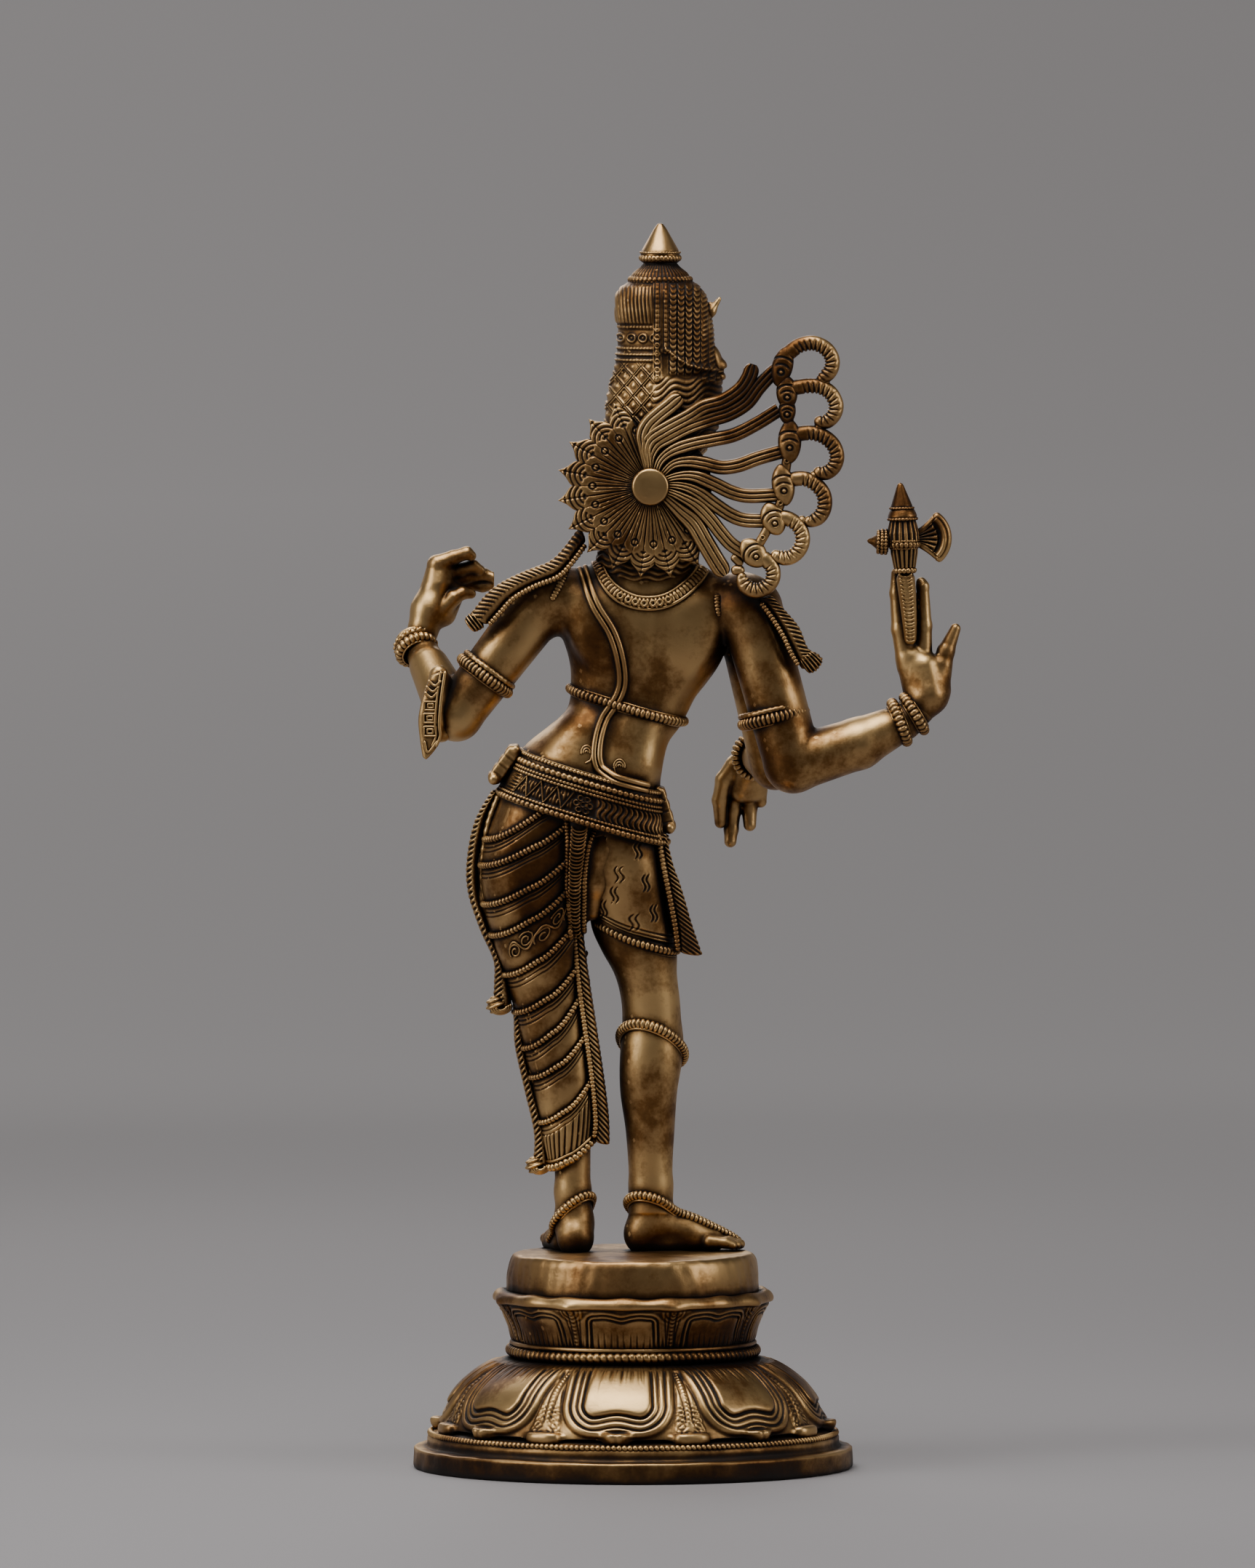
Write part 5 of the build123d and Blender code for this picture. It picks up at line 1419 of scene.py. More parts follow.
def make_sashes():
    parts = Parts()
    ribbon(parts, [(48.4, -5.0, 241.8), (52.8, -5.0, 230.9), (55.1, -6.0, 216.5), (54.6, -7.0, 204.2),
                   (50.7, -8.0, 191.2), (46.8, -8.0, 180.7), (44.2, -8.0, 172.9), (43.4, -8.0, 164.3)],
           [(50.4, -5.0, 242.8), (56.7, -6.0, 230.8), (59.5, -7.0, 217.0), (59.0, -8.0, 205.5),
            (55.1, -8.0, 192.5), (50.2, -8.0, 181.3), (49.9, -8.0, 172.9), (50.4, -8.0, 164.1)],
           3.2, 2.0, 1.6, 0.42, (0, 1, 0), 0.45)
    ribbon(parts, [(42.1, -8.0, 177.4), (39.8, -9.0, 160.4), (37.7, -9.0, 144.8), (34.3, -9.0, 131.7),
                   (31.2, -9.0, 118.7), (29.9, -9.0, 107.3)],
           [(44.2, -8.0, 177.4), (42.9, -9.0, 160.4), (42.4, -9.0, 150.0), (39.0, -9.0, 134.3),
            (35.6, -9.0, 118.7), (36.1, -9.0, 106.8)],
           3.0, 2.0, 1.6, 0.42, (0, 1, 0), 0.4)
    for line, r in (([(47.8, -2.5, 240.9), (51.7, -2.5, 229.7), (53.6, -3.5, 216.1), (52.8, -4.5, 203.6),
                      (48.9, -5.5, 190.5), (45.0, -6.0, 180.1), (42.6, -6.5, 173.0)], 1.35),
                    ([(41.9, -6.0, 174.9), (39.3, -6.5, 160.0), (36.9, -7.0, 144.9), (33.5, -7.0, 131.4),
                      (30.4, -7.0, 118.9), (29.4, -7.0, 110.5)], 1.25)):
        line = smooth_line(line, 0.6)
        tube(parts, line, lambda s, phi, r=r: r + 0.12 * np.sin(s * 1.9) + 0 * phi, 12)
        front = line * np.array([1, 0, 1]) + np.array([0, 1, 0]) * (-18.0 - line[:, 1:2] * 0.1)
        tube(parts, front, r, 10)
    # rolled ends
    for c, half, turn in (((47.1, -8.0, 164.3), 3.4, 12), ((33.0, -9.0, 106.8), 3.1, 15)):
        centre = np.array(c)
        for k in range(3):
            a = np.linspace(-0.2 * PI, 1.1 * PI, 18)
            arc = centre + np.stack([(half - 0.8 * k) * np.cos(a), 2.6 + 0.45 * k + 0 * a,
                                     -(half - 0.8 * k) * 0.62 * np.sin(a)], 1) @ turn_matrix(0, turn, 0).T
            tube(parts, even_line(arc, 0.4), 0.62, 8)
    for centre, half, lean in (((48.9, -7.0, 165.2), (3.6, 3.0, 3.4), 20),
                               ((35.1, -8.0, 107.6), (3.4, 2.8, 3.2), 18)):
        knob(parts, centre, half, lean)
    outer = parts.make("outer_sash_cloth")
    fill = Clay((20, -16, 150), (66, 2, 250), 0.45)
    chain(fill, [(45.8, -7.0, 241.2), (50.2, -7.0, 229.5), (52.3, -7.5, 215.9), (51.5, -8.0, 203.4),
                 (47.6, -8.5, 190.3), (43.7, -9.0, 179.9), (41.3, -9.0, 172.9)],
          [3.4, 4.0, 4.2, 4.2, 4.0, 3.6, 3.0], 2.0)
    core = fill.make("outer_sash_core")

    parts = Parts()
    ribbon(parts, [(21.1, -1.0, 195.2), (19.5, -1.5, 175.9), (16.9, -3.0, 156.3), (14.6, -4.0, 139.1),
                   (13.3, -5.0, 124.2), (13.8, -5.0, 115.9)],
           [(18.2, -1.0, 195.2), (16.1, -1.5, 177.8), (13.0, -3.0, 157.4), (10.4, -4.0, 139.9),
            (8.6, -5.0, 125.5), (8.3, -5.0, 114.6)],
           2.6, 2.1, 1.7, 0.42, (0, 1, 0), 0.12)
    rope(parts, smooth_line([(21.3, 1.0, 194.8), (19.8, 0.5, 176.0), (17.2, -1.0, 156.5),
                             (14.8, -2.2, 139.2), (13.5, -3.0, 124.3), (14.0, -3.4, 117.5)], 0.5),
         1.15, 1.4, 0.2, 0.36, False, 10)
    ribbon(parts, [(21.1, -18.0, 194.2), (19.5, -19.0, 174.9), (16.9, -18.0, 155.4), (14.6, -17.0, 138.3),
                   (13.3, -15.0, 123.5), (13.8, -14.0, 115.3)],
           [(18.2, -18.0, 194.2), (16.1, -18.0, 176.8), (13.0, -17.0, 156.5), (10.4, -16.0, 139.1),
            (8.6, -15.0, 124.8), (8.3, -14.0, 114.0)],
           2.2, 2.1, 1.7, 0.42, (0, -1, 0), 0.12)
    inner = parts.make("inner_sash_cloth")

    parts = Parts()
    ribbon(parts, [(-9.4, 2.0, 227.1), (-10.7, 2.0, 219.0), (-12.2, 1.5, 210.4), (-14.0, 1.0, 201.8),
                   (-15.9, 0.5, 192.9), (-16.9, 0.0, 183.8)],
           [(-10.9, 1.0, 227.0), (-13.8, 0.5, 216.3), (-16.4, 0.0, 209.8), (-18.7, -0.5, 202.5),
            (-21.1, -1.0, 194.2), (-25.2, -1.0, 182.7)],
           2.6, 2.1, 1.5, 0.42, (0, 1, 0), 0.1)
    rope(parts, smooth_line([(-8.8, 4.6, 227.2), (-10.1, 4.6, 219.2), (-11.7, 4.0, 210.6),
                             (-13.5, 3.0, 201.9), (-15.1, 2.0, 193.0), (-16.1, 1.0, 184.9)], 0.5),
         1.25, 1.5, 0.2, 0.36, False, 10)
    ribbon(parts, [(-9.4, -17.0, 226.1), (-10.7, -18.0, 218.0), (-12.2, -18.5, 209.3),
                   (-14.0, -18.5, 200.7), (-15.9, -18.0, 191.9), (-16.9, -17.0, 182.8)],
           [(-10.9, -16.0, 226.1), (-13.8, -17.0, 215.4), (-16.4, -17.5, 208.9), (-18.7, -17.5, 201.6),
            (-21.1, -17.0, 193.2), (-25.2, -16.0, 181.8)],
           2.2, 2.1, 1.5, 0.42, (0, -1, 0), 0.1)
    right = parts.make("right_sash_cloth")
    fill = Clay((-30, -22, 176), (-2, 6, 240), 0.45)
    core_line = [(-8.6, 225.9), (-9.9, 218.1), (-11.4, 209.8), (-13.3, 201.2), (-14.8, 192.1)]
    for y in (-3.5, -8.5, -13.0):
        chain(fill, [(x, y, z) for x, z in core_line], [2.4, 2.6, 2.8, 2.8, 2.2], 2.5)
    web = fill.make("right_sash_core")
    return [(outer, ["outer_sash"]), (core, ["outer_sash"]), (inner, ["inner_sash"]),
            (right, ["right_sash"]),
            (web, ["right_sash"])]


def make_clothes():
    skirt, shorts = make_skirt(), make_shorts()
    trees = [tree_of(skirt[0][0]), tree_of(shorts[0][0])]
    return skirt + shorts + make_girdle() + make_rear_panel(trees) + make_sashes()


# ---------------------------------------------------------------- jewellery

def ring_line(centre, axis, radius, squash=1.0, count=160):
    """A circle round a limb."""
    axis = unit(np.array(axis, float))
    u = unit(np.cross(axis, [0.1, 0.97, 0.2]))
    v = np.cross(axis, u)
    a = np.linspace(0, TAU, count)[:, None]
    return np.array(centre, float) + radius * (u * np.cos(a) + v * np.sin(a) * squash)


def shifted(line, axis, distance, grow=0.0):
    """A ring moved along its axis and made a little larger or smaller."""
    centre = line[:-1].mean(0)
    out = line - centre
    size = np.linalg.norm(out, axis=1).mean()
    return centre + out * (1 + grow / size) + unit(np.array(axis, float)) * distance


def bangle(parts, line, axis, radius, pitch, rims=0.0):
    """A ribbed ring with plain rims."""
    rope(parts, line, radius, pitch, 0.0, 0.42, True, 14)
    if rims:
        for side in (-1, 1):
            tube(parts, even_line(shifted(line, axis, side * radius * 0.92, -0.5), 0.5), rims, 8, True)


def make_bands(trunk, leg, foot):
    made = []
    parts = Parts()
    axis = (-0.29, 0.05, 1)
    band = wrap([trunk], (1.2, -8.3, 272.4), axis, 27.0, 0.4)
    bangle(parts, band, axis, 1.75, 1.75, 0.5)
    made.append((parts.make("chest_band_ring"), ["chest_band"]))

    for name, node, centre, axis, radius, size in (
            ("left_armlet_ring", "left_armlet", (53.0, -5.4, 283.2), (0.60, 0.02, -0.80), 9.9, 2.2),
            ("rear_armlet_ring", "rear_armlet", (-50.2, 0.9, 268.4), (-0.22, 0.05, -0.97), 11.1, 2.2)):
        parts = Parts()
        line = ring_line(centre, axis, radius)
        bangle(parts, line, axis, size, 1.55, 0.6)
        sleeve = shifted(line, axis, -size * 1.25, 0.15)
        tube(parts, even_line(sleeve, 0.6), lambda s, phi: 1.1 + 0.12 * np.sin(s * 3.0) + 0 * phi, 10, True)
        made.append((parts.make(name), [node]))

    parts = Parts()
    axis = unit(np.array([0.33, -0.68, 0.64]))
    centre = np.array((77.7, -33.0, 291.3))
    bangle(parts, ring_line(centre, axis, 6.3), axis, 1.9, 1.75, 0.4)
    upper = centre + axis * 3.6
    tube(parts, even_line(ring_line(upper, axis, 5.7), 0.5), 1.5, 12, True)
    for bead_centre in ring_line(upper, axis, 7.0, 1.0, 23)[:-1]:
        parts.sheet(ball(bead_centre, 0.75))
    tube(parts, even_line(ring_line(centre + axis * 5.6, axis, 5.5), 0.5), 0.7, 10, True)
    made.append((parts.make("left_bracelet_rings"), ["left_bracelet"]))

    parts = Parts()
    axis = (-0.93, -0.05, 0.36)
    bangle(parts, ring_line((-95.2, 0.5, 266.8), axis, 7.2), axis, 2.1, 1.75, 0.5)
    axis = (-0.86, -0.05, 0.52)
    bangle(parts, ring_line((-100.4, 0.5, 269.9), axis, 6.8), axis, 2.0, 1.75, 0.5)
    made.append((parts.make("rear_bracelet_rings"), ["rear_bracelet"]))

    parts = Parts()
    axis = (0.18, -0.97, 0.12)
    bangle(parts, ring_line(np.array(FRONT_WRIST) + np.array([-0.6, 2.6, -0.4]), axis, 6.9), axis,
           1.9, 1.7, 0.4)
    bangle(parts, ring_line(np.array(FRONT_WRIST) + np.array([-1.0, 6.4, -0.9]), axis, 7.3), axis, 1.7, 1.7)
    made.append((parts.make("front_bracelet_rings"), ["front_bracelet"]))

    for name, node, tree, centre, axis, reach, size in (
            ("knee_ring_rope", "knee_ring", leg, (-6.8, -10.5, 150.4), (-0.333, -0.65, 1), 26, 1.9),
            ("right_anklet_rope", "right_anklet", leg, (-11.0, -11.5, 90.1), (-0.26, -0.56, 1), 34, 1.75),
            ("left_anklet_rope", "left_anklet", foot, (22.0, -9.5, 90.2), (0.70, -0.60, 1), 20, 1.6)):
        parts = Parts()
        line = wrap([tree], centre, axis, reach, 0.35)
        bangle(parts, line, axis, size, 1.6, 0.45)
        made.append((parts.make(name), [node]))
    return made


def ball(centre, radius, around=10, rows=7):
    """A small ball as one sheet."""
    a = (np.arange(around + 1) / around * TAU)[None, :]
    b = np.linspace(-PI / 2 + 0.01, PI / 2 - 0.01, rows)[:, None]
    pts = np.stack([np.cos(b) * np.cos(a), np.cos(b) * np.sin(a), np.sin(b) + 0 * a], -1)
    return np.asarray(centre) + radius * pts[::-1]


def offset_line(line, away):
    """The line moved sideways, square to itself and to the Y axis."""
    tangent = unit(np.gradient(line, axis=0))
    return line + unit(np.cross(tangent, np.array((0.0, 1.0, 0.0)))) * away


def make_thread(trunk):
    parts = Parts()
    back = [(19.0, 324.2), (16.6, 316.9), (13.5, 308.6), (7.8, 299.3), (4.7, 289.6), (3.9, 280.5),
            (6.5, 274.0), (10.4, 268.3), (12.5, 261.8),
            (13.3, 254.5), (12.0, 250.4)]
    line = lay([trunk], back, 0.35, 1.0, 0.8)
    # its tail turns along the top of the girdle
    tail = on_belt(np.radians(np.linspace(104, 140, 9))[:, None], BELT_HALF + 0.3, 0.6)[:, 0]
    line = soften(even_line(np.concatenate([line, tail]), 0.7), False, 4)
    for away, r in ((-1.15, 1.05), (0.95, 1.05)):
        tube(parts, even_line(soften(offset_line(line, away), False, 3), 0.6), r, 10)
    front = [(20.5, 314.0), (16.5, 306.0), (5.0, 292.0), (-1.0, 280.0), (-3.5, 268.0), (-7.5, 256.0)]
    line = lay([trunk], front, 0.35, -1.0, 0.8)
    for away in (-1.05, 0.95):
        tube(parts, even_line(soften(offset_line(line, away), False, 3), 0.6), 0.95, 10)
    return [(parts.make("sacred_thread_strands"), ["sacred_thread"])]


def make_collar(trunk):
    """A ribbed collar that lies low on the back, with ring studs."""
    parts = Parts()
    low = lay([trunk], [(14.6, 324.2), (11.4, 316.9), (7.3, 311.7), (1.3, 308.6), (-5.2, 307.6),
                        (-11.7, 308.4), (-18.2, 311.7), (-23.9, 316.9), (-28.1, 323.2)], 0.4)
    high = lay([trunk], [(11.4, 324.2), (8.3, 318.5), (4.7, 314.9), (0.0, 312.5), (-5.2, 311.7),
                         (-10.9, 312.5), (-16.1, 315.4), (-20.8, 319.5), (-24.4, 324.7)], 0.5)
    mid = soften(0.5 * (low + high[np.linspace(0, len(high) - 1, len(low)).astype(int)]), False, 3)
    rope(parts, mid, 2.0, 1.5, 0.0, 0.4, False, 12, 0.62, (0, 1, 0))
    tube(parts, even_line(low, 0.6), 0.62, 8)
    tube(parts, even_line(high, 0.6), 0.62, 8)
    for k in np.linspace(len(mid) * 0.3, len(mid) * 0.66, 7).astype(int):
        spot = mid[k] + np.array([0, 1.25, 0])
        tube(parts, even_line(ring_line(spot, (0, 1, 0.1), 0.95, 1.0, 30), 0.3), 0.42, 8, True)
    return [(parts.make("back_collar_band"), ["back_collar"])]


def make_necklaces(trunk):
    """Three necklaces, a pendant and a row of beads on the chest."""
    parts = Parts()
    for points, r, pitch in (([(10.0, 318.0), (4.0, 312.5), (-4.4, 310.5), (-12.8, 312.5), (-18.8, 318.0)],
                              1.5, 1.6),
                             ([(14.0, 316.5), (6.5, 307.5), (-4.4, 304.0), (-15.3, 307.5), (-22.8, 316.5)],
                              1.3, 1.8),
                             ([(18.5, 314.0), (9.5, 302.0), (-4.4, 295.5), (-18.3, 302.0), (-27.3, 314.0)],
                              1.1, 1.5)):
        rope(parts, lay([trunk], points, 0.4, -1.0, 0.8), r, pitch, 0.0, 0.45, False, 12)
    drop = cast([trunk], (-4.4, -90, 291.5), (0, 1, 0))[0]
    for dz, r in ((2.2, 1.5), (-0.6, 2.3), (-3.6, 1.3)):
        parts.sheet(ball(drop + np.array([0, -0.5, dz]), r, 18, 12))
    for k in range(9):
        share = k / 8 * 2 - 1
        x = -4.4 + share * 11.5
        found = cast([trunk], (x, -90, 302.0 + 4.2 * share * share), (0, 1, 0))
        parts.sheet(ball(found[0] + np.array([0, -0.4, 0]), 1.15, 12, 8))
    return [(parts.make("front_necklaces"), [])]


def make_straps(trunk):
    """Leaf-shaped engraved straps on the shoulders."""
    parts = Parts()
    for points in ([(23.7, 321.6), (26.3, 315.9), (29.1, 310.7)],
                   [(-30.2, 312.8), (-30.2, 308.6), (-30.7, 305.0)]):
        line = lay([trunk], points, 0.1, 1.0, 0.6)
        total = (len(line) - 1) * np.linalg.norm(line[1] - line[0])

        def leaf(s, phi, total=total):
            return (1.45 - 0.6 * s / total) * (0.62 + 0.38 * ridge(s / 1.25 + 0 * phi, 0.8))
        tube(parts, even_line(line, 0.15), leaf, 10, False, (0, 1, 0), 0.55)
    return [(parts.make("shoulder_straps"), [])]


def make_curls(trunk):
    """Small spirals on the back, above the girdle."""
    parts = Parts()
    for x, z, turn in ((16.6, 256.4, 1), (4.9, 251.4, -1)):
        for ring in (0.7, 1.6, 2.5):
            a = np.linspace(-0.1 * PI, 1.1 * PI, 16)
            arc = [(x + turn * ring * math.cos(v) * 0.8, z + ring * math.sin(v)) for v in a]
            tube(parts, even_line(lay([trunk], arc, 0.05, 1.0, 0.3), 0.3), 0.34, 8)
        arc = [(x - turn * 2.0, z), (x - turn * 1.4, z - 2.6), (x + turn * 0.6, z - 3.8)]
        tube(parts, even_line(lay([trunk], arc, 0.05, 1.0, 0.3), 0.3), 0.36, 8)
    return [(parts.make("waist_curls"), [])]


def make_tassels():
    parts = Parts()
    ribbon(parts, [(16.6, 5.0, 332.2), (22.9, 6.5, 323.7), (27.3, 7.0, 319.8), (35.9, 6.5, 316.4),
                   (43.4, 6.0, 312.0), (48.1, 5.0, 306.7), (52.5, 4.5, 301.5)],
           [(19.0, 5.0, 337.4), (25.7, 6.0, 328.6), (30.4, 6.5, 324.5), (38.5, 6.5, 321.4),
            (46.8, 6.0, 317.4), (52.8, 5.0, 312.7), (58.8, 4.0, 304.9)],
           2.5, 1.9, 1.2, 0.4, (0, 1, 0), 0.42)
    ribbon(parts, [(57.2, 4.5, 298.9), (54.6, 4.5, 300.0), (52.5, 4.5, 301.5)],
           [(60.6, 3.5, 303.3), (59.5, 3.5, 305.1), (56.7, 3.5, 307.2)],
           2.8, 1.25, 0.0, 0.5, (0, 1, 0), 0.0)
    rope(parts, smooth_line([(16.9, 7.6, 330.7), (22.4, 9.0, 323.5), (27.0, 9.2, 319.1), (35.4, 8.6, 315.7),
                             (42.6, 8.0, 311.5), (47.3, 7.0, 306.6), (51.5, 6.4, 301.9)], 0.5),
         1.05, 1.35, 0.0, 0.45, False, 10)
    left = parts.make("left_tassel_lock")
    parts = Parts()
    ribbon(parts, [(-44.7, 9.0, 311.6), (-48.9, 9.5, 306.4), (-53.3, 10.0, 299.7), (-56.9, 10.0, 293.2),
                   (-59.0, 9.5, 288.2), (-60.8, 9.0, 285.6)],
           [(-49.4, 8.0, 312.6), (-54.1, 8.5, 307.4), (-59.3, 9.0, 301.2), (-62.4, 9.0, 293.9),
            (-66.0, 8.5, 291.8), (-68.4, 8.0, 289.2)],
           2.6, 1.8, 1.1, 0.4, (0, 1, 0), 0.36)
    ribbon(parts, [(-58.8, 10.0, 289.8), (-60.8, 10.0, 291.9), (-63.4, 9.5, 293.2)],
           [(-62.4, 9.0, 284.3), (-65.5, 9.0, 285.6), (-68.1, 8.5, 289.2)],
           2.6, 1.3, 0.0, 0.5, (0, 1, 0), 0.0)
    rope(parts, smooth_line([(-45.5, 11.6, 310.1), (-49.7, 12.0, 304.4), (-53.6, 12.2, 298.0),
                             (-56.4, 12.0, 292.0), (-59.0, 11.6, 287.6)], 0.5),
         1.0, 1.35, 0.0, 0.45, False, 10)
    right = parts.make("right_tassel_lock")
    return [(left, ["left_tassel"]), (right, ["right_tassel"])]


def make_elbow_drape():
    """A strip of cloth that hangs from the left elbow, with a stepped pattern."""
    parts = Parts()
    ribbon(parts, [(66.8, 5.0, 285.4), (68.1, 6.0, 276.4), (68.6, 6.0, 266.8), (68.4, 5.5, 262.1),
                   (70.2, 5.0, 257.9), (73.6, 4.5, 253.7)],
           [(71.8, 4.5, 284.4), (74.6, 5.0, 277.6), (76.2, 5.0, 271.7), (76.7, 4.5, 266.2),
            (75.4, 4.5, 255.8), (74.4, 4.5, 253.7)],
           1.5, 2.0, 0.0, 0.0, (0, 1, 0), 0.0)
    for away, r in ((0.0, 0.6), (1.5, 0.5)):
        edge = smooth_line([(67.1, 6.6, 285.5), (68.4, 7.6, 276.5), (69.2, 7.6, 266.9), (68.9, 7.0, 262.2),
                            (70.5, 6.4, 258.2)], 0.5)
        tube(parts, edge + np.array([away, -0.15 * away, 0]), r, 8)
    for x, z in ((70.7, 281.1), (71.5, 279.0), (72.0, 276.9)):
        v = smooth_line([(x + 2.6, 6.6, z + 1.2), (x, 7.3, z - 0.9), (x - 2.2, 7.2, z + 1.0)], 0.4)
        tube(parts, v, 0.5, 8)
    for x, z, w, h in ((72.3, 273.0, 2.2, 1.5), (72.5, 268.6, 2.3, 1.6), (72.5, 263.9, 2.2, 1.7)):
        for f in (1.0, 0.45):
            frame_line = [(x + w * f, 7.0, z + h * f), (x - w * f, 7.3, z + h * f),
                          (x - w * f, 7.1, z - h * f), (x + w * f, 6.8, z - h * f)]
            tube(parts, even_line(np.array(frame_line + frame_line[:1]), 0.3), 0.36, 8, True)
    v = smooth_line([(69.7, 6.6, 260.6), (73.3, 6.2, 256.4), (74.6, 6.4, 260.6)], 0.4)
    tube(parts, v, 0.5, 8)
    drape = parts.make("elbow_drape_cloth")
    pad = Clay((60, -10, 246), (80, 8, 300), 0.4)
    chain(pad, [(69.4, 1.5, 284.2), (71.0, 2.0, 275.4), (71.8, 2.0, 266.3), (72.3, 2.6, 260.4)],
          [3.2, 4.0, 4.2, 2.6], 1.5)
    chain(pad, [(68.6, -2.0, 281.0), (68.6, -3.0, 271.3), (68.6, -2.0, 263.5)], [4.0, 4.6, 4.0], 2.0)
    backing = pad.make("elbow_drape_backing")
    return [(drape, ["elbow_drape"]), (backing, ["elbow_drape"])]


def spindle(parts, low, high, profile, flutes=0, depth=0.0):
    """A turned piece between two points, with an outline of (share, radius) and optional flutes."""
    low, high = np.array(low, float), np.array(high, float)
    length = np.linalg.norm(high - low)
    s = np.linspace(0, 1, int(length / 0.25))
    axis = unit(high - low)
    u = unit(np.cross(axis, [0.02, 1, 0.03]))
    v = np.cross(axis, u)
    p = np.array(profile, float)
    r = np.interp(s, p[:, 0], p[:, 1])[:, None]
    a = (np.arange(96) / 96 * TAU)[None, :]
    if flutes:
        r = r * (1 - depth * (1 - ridge(a * flutes / TAU, 0.9)))
    else:
        r = r + 0 * a
    line = low + (high - low) * s[:, None]
    parts.sheet(line[:, None] + (u * np.cos(a)[..., None] + v * np.sin(a)[..., None]) * r[..., None],
                False, True)


AXE_Y = 4.5


def make_axe():
    parts = Parts()
    spindle(parts, (-95.9, AXE_Y, 343.4), (-95.3, AXE_Y, 352.7),
            [(0, 0.02), (0.01, 3.9), (0.12, 3.8), (0.86, 1.3), (0.95, 0.9), (1, 0.02)])
    spindle(parts, (-96.2, AXE_Y, 339.7), (-95.9, AXE_Y, 343.6),
            [(0, 0.02), (0.02, 5.1), (0.3, 5.2), (0.65, 4.7), (0.9, 4.2), (1, 0.02)])
    spindle(parts, (-96.5, AXE_Y, 331.1), (-96.2, AXE_Y, 340.2),
            [(0, 0.02), (0.01, 6.0), (0.4, 5.9), (0.95, 4.6), (1, 0.02)], 16, 0.16)
    spindle(parts, (-97.0, AXE_Y, 322.1), (-96.7, AXE_Y, 330.9),
            [(0, 0.02), (0.01, 4.0), (0.6, 4.9), (0.98, 5.1), (1, 0.02)], 16, 0.18)
    for place, r, t, p in (((-96.2, AXE_Y, 339.7), 5.0, 0.6, 1.3), ((-95.9, AXE_Y, 343.6), 4.1, 0.5, 1.2),
                           ((-96.7, AXE_Y, 330.6), 4.9, 1.25, 1.5),
                           ((-97.0, AXE_Y, 321.3), 3.3, 1.1, 1.5), ((-96.7, AXE_Y, 331.9), 5.5, 0.45, 1.2),
                           ((-96.7, AXE_Y, 329.3), 4.8, 0.45, 1.2)):
        rope(parts, ring_line(place, (0.03, 0, 1), r), t, p, 0.0, 0.42, True, 10)
    # handle with a column of scallops
    handle = smooth_line([(-97.0, AXE_Y, 321.3), (-98.0, 4.0, 311.9), (-98.8, 3.0, 301.5),
                          (-99.1, 1.5, 294.6)], 0.5)
    tube(parts, handle, lambda s, phi: np.interp(s, [0, 8, 26], [3.4, 3.2, 2.2]) + 0 * phi, 16)
    for share in np.linspace(0.05, 0.93, 19):
        at = handle[int(share * (len(handle) - 1))]
        w = 2.3 - 1.0 * share
        a = np.linspace(PI, TAU, 12)
        arc = at + np.stack([w * np.cos(a), 3.2 - 0.9 * share + 0.3 * np.sin(a), 0.55 * w * np.sin(a)], 1)
        tube(parts, even_line(arc, 0.3), 0.45, 8)
    # spike on the left of the socket, seen from behind
    spindle(parts, (-91.5, AXE_Y, 331.4), (-83.5, AXE_Y, 331.9),
            [(0, 0.02), (0.01, 3.6), (0.33, 3.9), (0.40, 3.9), (0.42, 3.6), (0.8, 1.3),
             (0.95, 0.7), (1, 0.02)])
    for px, r in ((-88.9, 4.0), (-90.2, 4.0), (-87.6, 3.7)):
        rope(parts, ring_line((px, AXE_Y, 331.5), (1, 0, 0.03), r), 0.75, 1.2, 0.0, 0.42, True, 10)
    # fan-shaped blade on the right
    rows, cols = 46, 150
    t = np.linspace(0, 1, rows)[:, None]
    a = np.linspace(-1, 1, cols)[None, :]
    hub_x, hub_z = -97.7, 332.5
    radius = 1.5 + t * (12.8 - 1.2 * a ** 2)
    angle = a * (0.36 + 0.24 * t) + 0.06
    x = hub_x - radius * np.cos(angle)
    z = hub_z + radius * np.sin(angle)
    thick = 2.4 - 1.2 * np.sin(PI * np.clip(t / 0.86, 0, 1)) + 0.9 * pulse(t, 0.93, 0.07)
    flute = (1 - 0.55 * (1 - ridge((a + 1) / 2 * 6 + 0.5, 0.8)) * step_up(0.74 - t, 0, 0.03)
             * step_up(t, 0.08, 0.03))
    groove = 1 - 0.5 * pulse(t, 0.79, 0.035)
    half = thick * flute * groove * np.clip((1 - np.abs(a)) / 0.05, 0.15, 1)
    near = np.stack([x, AXE_Y + half, z], -1)
    far = np.stack([x, AXE_Y - half, z], -1)[:, ::-1]
    parts.sheet(np.concatenate([near, far], 1), False, True)
    rim_t = np.linspace(-1.16, 1.16, 60)
    rim_r = 14.4 - 1.2 * rim_t ** 2
    rim_a = rim_t * 0.60 + 0.06
    rim = np.stack([hub_x - rim_r * np.cos(rim_a), AXE_Y + 0 * rim_t, hub_z + rim_r * np.sin(rim_a)], 1)
    tube(parts, even_line(rim, 0.5), 1.7, 12)
    for side in (-1, 1):
        edge = np.array([[hub_x - r * math.cos(side * (0.36 + 0.018 * r) + 0.06), AXE_Y,
                          hub_z + r * math.sin(side * (0.36 + 0.018 * r) + 0.06)]
                         for r in np.linspace(4.0, 13.4, 14)])
        tube(parts, even_line(edge, 0.5), 1.25, 10)
    axe = parts.make("axe_head")
    return [(axe, ["axe"])]


